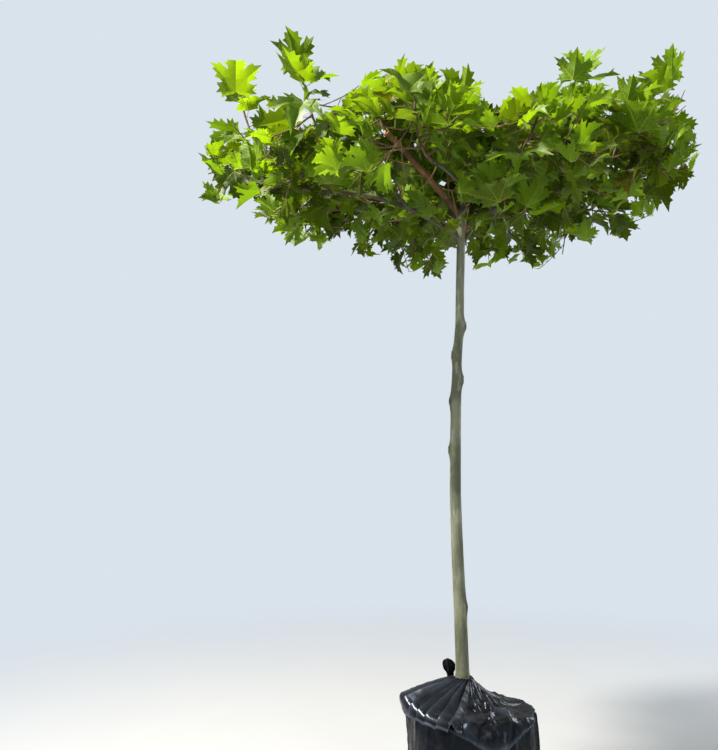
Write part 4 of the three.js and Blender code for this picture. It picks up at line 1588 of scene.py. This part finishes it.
def wrap_point(across, along):
    """A point of the wrapping: round the ball, and from its underside to the collar."""
    heading = across * 2 * math.pi
    row = round(along * sum(FILM_ROWS))
    below, wall, rim, top, collar = np.cumsum(FILM_ROWS)
    top_from = RIM_ROUND / (BALL_RIM[0] - BALL_MOUTH[0])
    if row < below:
        out = wall_point(heading, 0) * (row / below)
        return Vector((out.x, out.y, 0))
    if row < wall:
        return wall_point(heading, (row - below) / (wall - below) * (BALL_RIM[1] - RIM_ROUND))
    if row < rim:
        return rim_point(heading, (row - wall) / (rim - wall))
    if row < top:
        return top_point(heading, lerp(top_from, 1, (row - rim) / (top - rim)))
    return collar_point(heading, (row - top) / (collar - top))


def sharp_wave(angle):
    """A wave with sharp crests and round troughs, from -1 to 1."""
    return 1 - 2 * math.sqrt(abs(math.sin(angle / 2)))


def facets(place, size, seed=0.0):
    """Crumpled film: facets that meet in sharp creases, from about 0 to 1."""
    distances, _ = noise.voronoi(place / size + Vector((seed, seed * 0.7, seed * 1.3)))
    return distances[0]


def film_relief(place):
    """How far the wrapping's folds and creases stand out at a place."""
    heading = math.atan2(place.y, place.x)
    if place.z < 0.001:
        return 0.0
    radius = math.hypot(place.x, place.y)
    if place.z < BALL_RIM[1] - 0.03 or radius > 0.25:
        return wall_relief(place, heading)
    return top_relief(place, heading, radius)


def wall_relief(place, heading):
    """Folds that hang from the rim, upright creases, and film bunched at the foot."""
    below_rim = BALL_RIM[1] - place.z
    out = 0.0
    for start, lean, width, height, length in HANGING_FOLDS:
        off = abs(turn_apart(heading, math.radians(start) + lean * below_rim))
        fade = clamp(1 - below_rim / length) ** 0.7
        crest = math.exp(-off / (width * (1 + 3 * below_rim)))
        out += FOLD_STRENGTH * height * fade * (crest - FOLD_LEVEL)
    wander = noise.noise_vector(place * 5) * 0.03
    upright = Vector((place.x, place.y, place.z * 0.13)) + wander
    out += WALL_CREASES * (facets(upright, WALL_FACETS) - 0.45)
    drawn_up = Vector((place.x, place.y, place.z * 0.16))
    out += LINE_DEPTH * (1 - 2 * abs(noise.noise(drawn_up / LINE_STEP)))
    slack = Vector((place.x, place.y, place.z * 0.5)) + wander
    out += SLACK_CREASES * (facets(slack, SLACK_FACETS, 3.1) - 0.45)
    foot = math.exp(-place.z / FOOT_HEIGHT)
    bunched = Vector((place.x, place.y, place.z * 2.2))
    out += foot * FOOT_CREASES * (facets(bunched, FOOT_FACETS, 5.0) - 0.4)
    return out * clamp(place.z / 0.012)


def top_relief(place, heading, radius):
    """Pleats that swing round to the neck, and facets; the film is calmer under the flap."""
    share = clamp((BALL_RIM[0] - radius) / (BALL_RIM[0] - BALL_MOUTH[0]))
    swing = heading + TOP_SWING * share
    pleats = sum(height * sharp_wave(count * swing + shift) for count, height, shift in TOP_PLEATS)
    smooth = 1 - 0.15 * math.exp(-((turn_apart(heading, SMOOTHEST) / SMOOTH_WIDTH) ** 2))
    rounded = math.sin(math.pi * share) ** 0.6 if share > 0 else 0.0
    out = TOP_PLEAT_HEIGHT * pleats * smooth * rounded
    crumpled = math.exp(-((turn_apart(heading, CRUMPLED) / CRUMPLED_WIDTH) ** 2))
    crumpled *= math.sin(math.pi * clamp(share + 0.12))
    wander = noise.noise_vector(place * 11) * 0.012
    out += TOP_CREASES * (facets(place + wander, TOP_FACETS) - 0.4)
    out += crumpled * CRUMPLED_CREASES * (facets(place + wander, CRUMPLED_FACETS, 7.3) - 0.4)
    out += crumpled * CRUMPLED_FINE_CREASES * (facets(place, CRUMPLED_FINE_FACETS, 2.2) - 0.4)
    covered = math.exp(-((turn_apart(heading, COVERED) / COVERED_WIDTH) ** 4))
    out *= 1 - 0.75 * covered
    return out - COVERED_DOWN * covered * math.sin(math.pi * clamp(share))


def shaped_grid(name, columns, rows, place, crest=None):
    """A sheet whose corners lie where `place` puts them, by their shares across and along."""
    bpy.ops.object.select_all(action="DESELECT")
    bpy.ops.mesh.primitive_grid_add(x_subdivisions=columns, y_subdivisions=rows, size=1)
    piece = bpy.context.object
    piece.name = name
    shares = [(vertex.co.x + 0.5, vertex.co.y + 0.5) for vertex in piece.data.vertices]
    for vertex, share in zip(piece.data.vertices, shares):
        vertex.co = place(*share)
    if crest:
        mark_sheen_and_wear(piece, [crest(*share) for share in shares])
    return piece


def mark_sheen_and_wear(piece, values):
    """Store how far each corner of the film is on the crest of a crease, where the material paints
    its bluish sheen.
    """
    sheen_and_wear_marks = piece.data.attributes.new("crest", "FLOAT", "POINT")
    sheen_and_wear_marks.data.foreach_set("value", [clamp(value) for value in values])


def merge_and_turn_out(piece):
    """Merge the corners that meet, turn the faces outwards and shade them smooth."""
    bpy.ops.object.select_all(action="DESELECT")
    piece.select_set(True)
    bpy.context.view_layer.objects.active = piece
    bpy.ops.object.mode_set(mode="EDIT")
    bpy.ops.mesh.select_all(action="SELECT")
    bpy.ops.mesh.remove_doubles(threshold=SAME_PLACE)
    bpy.ops.mesh.normals_make_consistent(inside=False)
    bpy.ops.object.mode_set(mode="OBJECT")
    bpy.ops.object.shade_smooth()


def thicken(piece):
    """Give a sheet of film its thickness, inwards."""
    bpy.ops.object.select_all(action="DESELECT")
    piece.select_set(True)
    bpy.context.view_layer.objects.active = piece
    bpy.ops.object.shade_smooth()
    solid = piece.modifiers.new("thickness", "SOLIDIFY")
    solid.thickness = FILM_THICKNESS
    solid.offset = -1
    bpy.ops.object.modifier_apply(modifier=solid.name)


def sheet_point(across, along, rim_headings, neck_headings, hem, proud, flare=None):
    """A point of a sheet that lies on the gathered top and hangs over the rim to its hem."""
    heading = math.radians(lerp(*rim_headings, across))
    neck = math.radians(lerp(*neck_headings, across))
    if along < SHEET_ON_TOP:
        point = top_point(heading, 1 - along / SHEET_ON_TOP * 0.9, neck)
        point.z += proud
    else:
        share = (along - SHEET_ON_TOP) / (1 - SHEET_ON_TOP)
        edge = top_point(heading, 0.1, neck)
        edge.z += proud
        reach, lift = corner_at(heading)
        out = Vector((math.cos(heading), math.sin(heading), 0))
        corner = out * (BALL_RIM[0] + reach + proud * 1.6)
        corner.z = BALL_RIM[1] + lift + proud
        beyond = proud * 1.9 if flare is None else flare
        hang = out * (np.interp(0.47, *zip(*BALL_WALL)) + reach * 0.1 + beyond)
        hang.z = np.interp(across, *zip(*hem))
        point = edge.lerp(corner, share).lerp(corner.lerp(hang, share), share)
    return point


class PLANETREE_OT_root_ball(bpy.types.Operator):
    """Wrap the root ball in black film, gathered and folded over at the top"""

    bl_idname = "plane_tree.root_ball"
    bl_label = "Root Ball"

    def execute(self, context):
        """Shape the wrapping, the flap, the hanging fold and the loose end."""
        noise.seed_set(FILM_SEED)
        colours = context.scene.plane_tree_colours
        film = film_material(colours)
        wrap = shaped_grid("film_wrap", FILM_COLUMNS, sum(FILM_ROWS), wrap_point)
        merge_and_turn_out(wrap)
        reliefs = [film_relief(vertex.co) for vertex in wrap.data.vertices]
        normals = [vertex.normal.copy() for vertex in wrap.data.vertices]
        for vertex, normal, relief in zip(wrap.data.vertices, normals, reliefs):
            vertex.co += normal * relief
            vertex.co.z = max(vertex.co.z, 0)
        # Painted sheen on the raised creases of the wrapping.
        mark_sheen_and_wear(wrap, [(relief - 0.006) * 50 for relief in reliefs])
        flap = shaped_grid("film_flap", *FLAP_GRID, self.flap_point, self.flap_sheen_and_wear)
        thicken(flap)
        lobe = shaped_grid("film_lobe", *LOBE_GRID, self.lobe_point, self.lobe_painted_sheen)
        thicken(lobe)
        end = shaped_grid("film_end", *FILM_END_GRID, self.end_point)
        merge_and_turn_out(end)
        for piece in (wrap, flap, lobe, end):
            finish_piece(piece, "film", film, "root_ball")
        return {"FINISHED"}

    def flap_point(self, across, along):
        """The folded flap, in pleats that run together at the neck, with a doubled hem."""
        proud = FLAP_PROUD * (1 - 0.85 * clamp((across - 0.8) / 0.2))
        flare = lerp(*FLAP_FLARE, clamp((across - 0.25) / 0.3))
        point = sheet_point(across, along, FLAP_RIM, FLAP_NECK, FLAP_HEM, proud, flare)
        pleat = self.pleat(across, along)
        spread = math.sin(math.pi * clamp(along * 0.9 + 0.06)) ** 0.7
        lower = 1 - 0.5 * clamp((across - 0.45) / 0.2)
        point.z += FLAP_PLEAT_HEIGHT * pleat * spread * lower
        place = Vector((across * 0.55, along * 0.3, 0))
        point.z += 0.004 * (facets(place, 0.05) - 0.4) * spread
        if along > SHEET_ON_TOP:
            share = (along - SHEET_ON_TOP) / (1 - SHEET_ON_TOP)
            heading = math.radians(lerp(*FLAP_RIM, across))
            out = Vector((math.cos(heading), math.sin(heading), 0))
            point += out * 0.010 * (pleat - 0.4) * share
            point.z -= HEM_SCALLOPS * share * sharp_wave(across * FLAP_PLEATS * 2 * math.pi)
            if share > 0.9:
                point += out * HEM_ROLL
        return point

    def pleat(self, across, along):
        """How high a pleat of the flap stands: a long slope, then a steep step down."""
        wander = 0.35 * noise.noise(Vector((across * 5, along * 1.5, 4)))
        saw = (across * FLAP_PLEATS + wander) % 1
        if saw < PLEAT_SLOPE:
            return saw**PLEAT_CURVE
        return PLEAT_TOP * (1 - saw) / PLEAT_DROP

    def flap_sheen_and_wear(self, across, along):
        """How much painted sheen, partly rubbed wear, the flap gets along the tops of its pleats,
        and its painted highlight at the hem.
        """
        hem = clamp((along - 0.955) / 0.02) * clamp((0.62 - across) * 6)
        patchy = 0.55 + 0.9 * noise.noise(Vector((across * 7, along * 2.5, 9)))
        fade = clamp(along / 0.12) * clamp((1 - along) / 0.12)
        # Painted sheen on the pleat tops, and a painted highlight along the hem.
        rubbed_and_sheen = 0.08 + 1.15 * self.pleat(across, along) ** 1.8 * patchy
        return rubbed_and_sheen * fade + 0.9 * hem

    def lobe_point(self, across, along):
        """The crumpled film that sags over the rim in a hanging fold."""
        proud = 0.0008 + 0.008 * math.sin(math.pi * clamp(across)) ** 0.6
        point = sheet_point(across, along, LOBE_RIM, LOBE_NECK, LOBE_HEM, proud)
        heading = math.radians(lerp(*LOBE_RIM, across))
        out = Vector((math.cos(heading), math.sin(heading), 0))
        place = self.lobe_place(across, along)
        lump = LOBE_LUMPS * (facets(place, LOBE_FACETS, 4.4) - 0.45)
        lump += LOBE_FINE_LUMPS * (facets(place, LOBE_FINE_FACETS, 9.1) - 0.45)
        lump *= math.sin(math.pi * clamp(across)) ** 0.5 * clamp(along * 4)
        wander = 3 * noise.noise(Vector((across * 3, along * 3, 2)))
        folds = LOBE_FOLDS * sharp_wave(across * 24 + along * 13 + wander)
        over = clamp((along - 0.6) / 0.25)
        way = (UP * (1 - over) + out * over).normalized()
        return point + way * (lump + folds * clamp(along * 3) * math.sin(math.pi * across))

    def lobe_place(self, across, along):
        """A place on the crumpled film laid flat, which its creases follow."""
        place = Vector((across * LOBE_SIZE, along * LOBE_SIZE, 1))
        return place + noise.noise_vector(place * 9) * 0.02

    def lobe_painted_sheen(self, across, along):
        """Painted sheen on the ridges between the facets, and a painted highlight along the hem."""
        ridge = facets(self.lobe_place(across, along), LOBE_FACETS, 4.4) - 0.5
        inside = clamp(across * 9) * clamp((1 - across) * 9)
        return (3 * max(ridge, 0) ** 1.5 + 0.8 * clamp((along - 0.96) / 0.03)) * inside

    def end_point(self, across, along):
        """The loose end: a flattened teardrop, crumpled."""
        heading = across * 2 * math.pi
        height = lerp(FILM_END_PROFILE[0][0], FILM_END_PROFILE[-1][0], along)
        radius = np.interp(height, *zip(*FILM_END_PROFILE))
        point = Vector((math.cos(heading) * radius, math.sin(heading) * radius * FILM_END_FLAT, 0))
        folded = 1 + 0.3 * sharp_wave(4 * heading + along * 1.6)
        point *= folded + 0.5 * (facets(point + Vector((0, 0, height * 0.4)), 0.02, 6.0) - 0.4)
        rise = height - FILM_END_PROFILE[0][0]
        point.x += FILM_END[0] - rise * math.sin(FILM_END_LEAN)
        point.y += FILM_END[1]
        point.z = height
        return point


def film_material(colours):
    """Glossy black film: soft wrinkles, creases with a painted bluish sheen that is partly rubbed
    wear, and soil dust low down that is partly a painted reflection of the ground.
    """
    material, nodes, surface = principled("black_film")
    place = nodes.object_place()
    wrinkle = nodes.noise(nodes.stretched(place, (1, 1, 0.55)), 34, 4, 0.6)
    crease = nodes.sum("MULTIPLY", nodes.cells(place, 46), 0.5)
    height = nodes.sum("ADD", nodes.sum("MULTIPLY", wrinkle, 0.7), crease)
    nodes.feed(surface.inputs["Normal"], nodes.bump(height, 0.3, 0.003))
    rubbed_and_sheen = nodes.spread(nodes.noise(place, 17, 5, 0.65), 0.45, 0.75)
    nodes.feed(surface.inputs["Roughness"], nodes.spread(rubbed_and_sheen, 0, 1, 0.24, 0.4))
    surface.inputs["Specular IOR Level"].default_value = SHEEN
    surface.inputs["Specular Tint"].default_value = rgba(SHEEN_TINT)
    # Soil dust towards the bottom, which also paints the ground's brown reflection in the lower
    # wall.
    up = nodes.add("ShaderNodeSeparateXYZ", Vector=place).outputs["Z"]
    low = nodes.spread(up, 0.22, 0.0, 0.06, 0.5)
    dust_and_reflection_patches = nodes.spread(nodes.noise(place, 26, 6, 0.7), 0.46, 0.72)
    dust_and_ground_reflection = nodes.sum("MULTIPLY", low, dust_and_reflection_patches)
    # Painted sheen: where the mesh marks a crease, the film takes the bluish grey in patches,
    # partly as rubbed wear.
    wear_and_sheen_patches = nodes.spread(rubbed_and_sheen, 0, 1, 0.9, 0.5)
    wear_and_sheen = nodes.sum("MULTIPLY", nodes.attribute("crest"), wear_and_sheen_patches)
    face = nodes.mix(wear_and_sheen, tuple(colours.film), tuple(colours.crest))
    nodes.feed(surface.inputs["Base Color"], nodes.mix(dust_and_ground_reflection, face, tuple(colours.dust_and_ground_reflection)))
    return material


class PLANETREE_OT_stage(bpy.types.Operator):
    """Lay the studio floor, and place the lights and the camera"""

    bl_idname = "plane_tree.stage"
    bl_label = "Stage"

    def execute(self, context):
        """Lay the floor, hang the lights and the backdrop, and aim the camera."""
        colours = context.scene.plane_tree_colours
        bpy.ops.object.select_all(action="DESELECT")
        bpy.ops.mesh.primitive_circle_add(
            vertices=FLOOR_EDGES, radius=FLOOR_RADIUS, fill_type="NGON"
        )
        floor = context.object
        floor.name = "floor"
        floor.data.materials.append(self.floor_material(colours))
        for light in LIGHTS:
            self.soft_light(*light)
        context.scene.view_settings.view_transform = "Standard"
        self.backdrop(context, colours)
        bpy.ops.object.camera_add(
            location=CAMERA_PLACE, rotation=(math.pi / 2 + CAMERA_PITCH, 0, 0)
        )
        camera = context.object
        camera.data.lens = CAMERA_LENS
        camera.data.sensor_width = CAMERA_SENSOR
        context.scene.camera = camera
        return {"FINISHED"}

    def floor_material(self, colours):
        """A matt floor that melts into the backdrop far from the object."""
        material, nodes, surface = principled("floor")
        place = nodes.object_place()
        mottle = nodes.spread(nodes.noise(place, 2.3, 5), 0.3, 0.7, 0, 0.12)
        darker = tuple(part * 0.8 for part in colours.floor)
        nodes.feed(surface.inputs["Base Color"], nodes.mix(mottle, tuple(colours.floor), darker))
        surface.inputs["Roughness"].default_value = 0.9
        surface.inputs["Specular IOR Level"].default_value = 0.1
        grain = nodes.bump(nodes.noise(place, 180, 3), 0.15, 0.002)
        nodes.feed(surface.inputs["Normal"], grain)
        away = nodes.add("ShaderNodeVectorMath", Vector=place)
        away.operation = "LENGTH"
        fade = nodes.spread(away.outputs["Value"], FLOOR_FADES[0], FLOOR_FADES[1])
        far = nodes.add("ShaderNodeEmission", Color=rgba(colours.backdrop), Strength=1.0)
        blend = nodes.add("ShaderNodeMixShader", Fac=fade)
        nodes.tree.links.new(surface.outputs["BSDF"], blend.inputs[1])
        nodes.tree.links.new(far.outputs["Emission"], blend.inputs[2])
        out = nodes.tree.nodes["Material Output"]
        nodes.tree.links.new(blend.outputs["Shader"], out.inputs["Surface"])
        return material

    def backdrop(self, context, colours):
        """A pale backdrop, which lights the object less than it shows."""
        world = context.scene.world or bpy.data.worlds.new("backdrop")
        context.scene.world = world
        world.use_nodes = True
        nodes = Nodes(world.node_tree)
        shown = world.node_tree.nodes["Background"]
        shown.inputs["Color"].default_value = rgba(colours.backdrop)
        shown.inputs["Strength"].default_value = 1.0
        way = nodes.add("ShaderNodeTexCoord").outputs["Generated"]
        up = nodes.add("ShaderNodeSeparateXYZ", Vector=way).outputs["Z"]
        cast = nodes.add("ShaderNodeBackground", Color=rgba(SKY_TINT),
                         Strength=nodes.spread(up, -0.1, 0.8, *SKY_LIGHT))
        seen = nodes.add("ShaderNodeLightPath").outputs["Is Camera Ray"]
        blend = nodes.add("ShaderNodeMixShader", Fac=seen)
        world.node_tree.links.new(cast.outputs["Background"], blend.inputs[1])
        world.node_tree.links.new(shown.outputs["Background"], blend.inputs[2])
        out = world.node_tree.nodes["World Output"]
        world.node_tree.links.new(blend.outputs["Shader"], out.inputs["Surface"])

    def soft_light(self, name, place, size, power, tint):
        """Hang a round soft light that faces the tree."""
        bpy.ops.object.light_add(type="AREA", location=place)
        light = bpy.context.object
        light.name = name
        light.data.shape = "DISK"
        light.data.size = size
        light.data.energy = power
        light.data.color = tint
        aim = Vector(LIGHTS_AIM) - Vector(place)
        light.rotation_euler = aim.to_track_quat("-Z", "Y").to_euler()


class PLANETREE_PT_panel(bpy.types.Panel):
    """Lists the tree's pieces"""

    bl_idname = "PLANETREE_PT_panel"
    bl_label = "Plane Tree"
    bl_space_type = "VIEW_3D"
    bl_region_type = "UI"
    bl_category = "Plane Tree"

    def draw(self, context):
        """Draw a button for each operator."""
        for operator in OPERATORS:
            self.layout.operator(operator.bl_idname)


OPERATORS = (
    PLANETREE_OT_stage,
    PLANETREE_OT_trunk,
    PLANETREE_OT_boughs,
    PLANETREE_OT_twigs,
    PLANETREE_OT_leaves,
    PLANETREE_OT_stalks,
    PLANETREE_OT_root_ball,
)
CLASSES = (TreeSizes, TreeColours, *OPERATORS, PLANETREE_PT_panel)


def register():
    """Add the classes and the settings of the scene."""
    for kind in CLASSES:
        bpy.utils.register_class(kind)
    bpy.types.Scene.plane_tree_sizes = PointerProperty(type=TreeSizes)
    bpy.types.Scene.plane_tree_colours = PointerProperty(type=TreeColours)


def unregister():
    """Take the settings and the classes away again."""
    del bpy.types.Scene.plane_tree_colours
    del bpy.types.Scene.plane_tree_sizes
    for kind in reversed(CLASSES):
        bpy.utils.unregister_class(kind)


def main():
    """Build every piece in order."""
    register()
    for operator in OPERATORS:
        group, name = operator.bl_idname.split(".")
        getattr(getattr(bpy.ops, group), name)()
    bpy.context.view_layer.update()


if __name__ == "__main__":
    main()
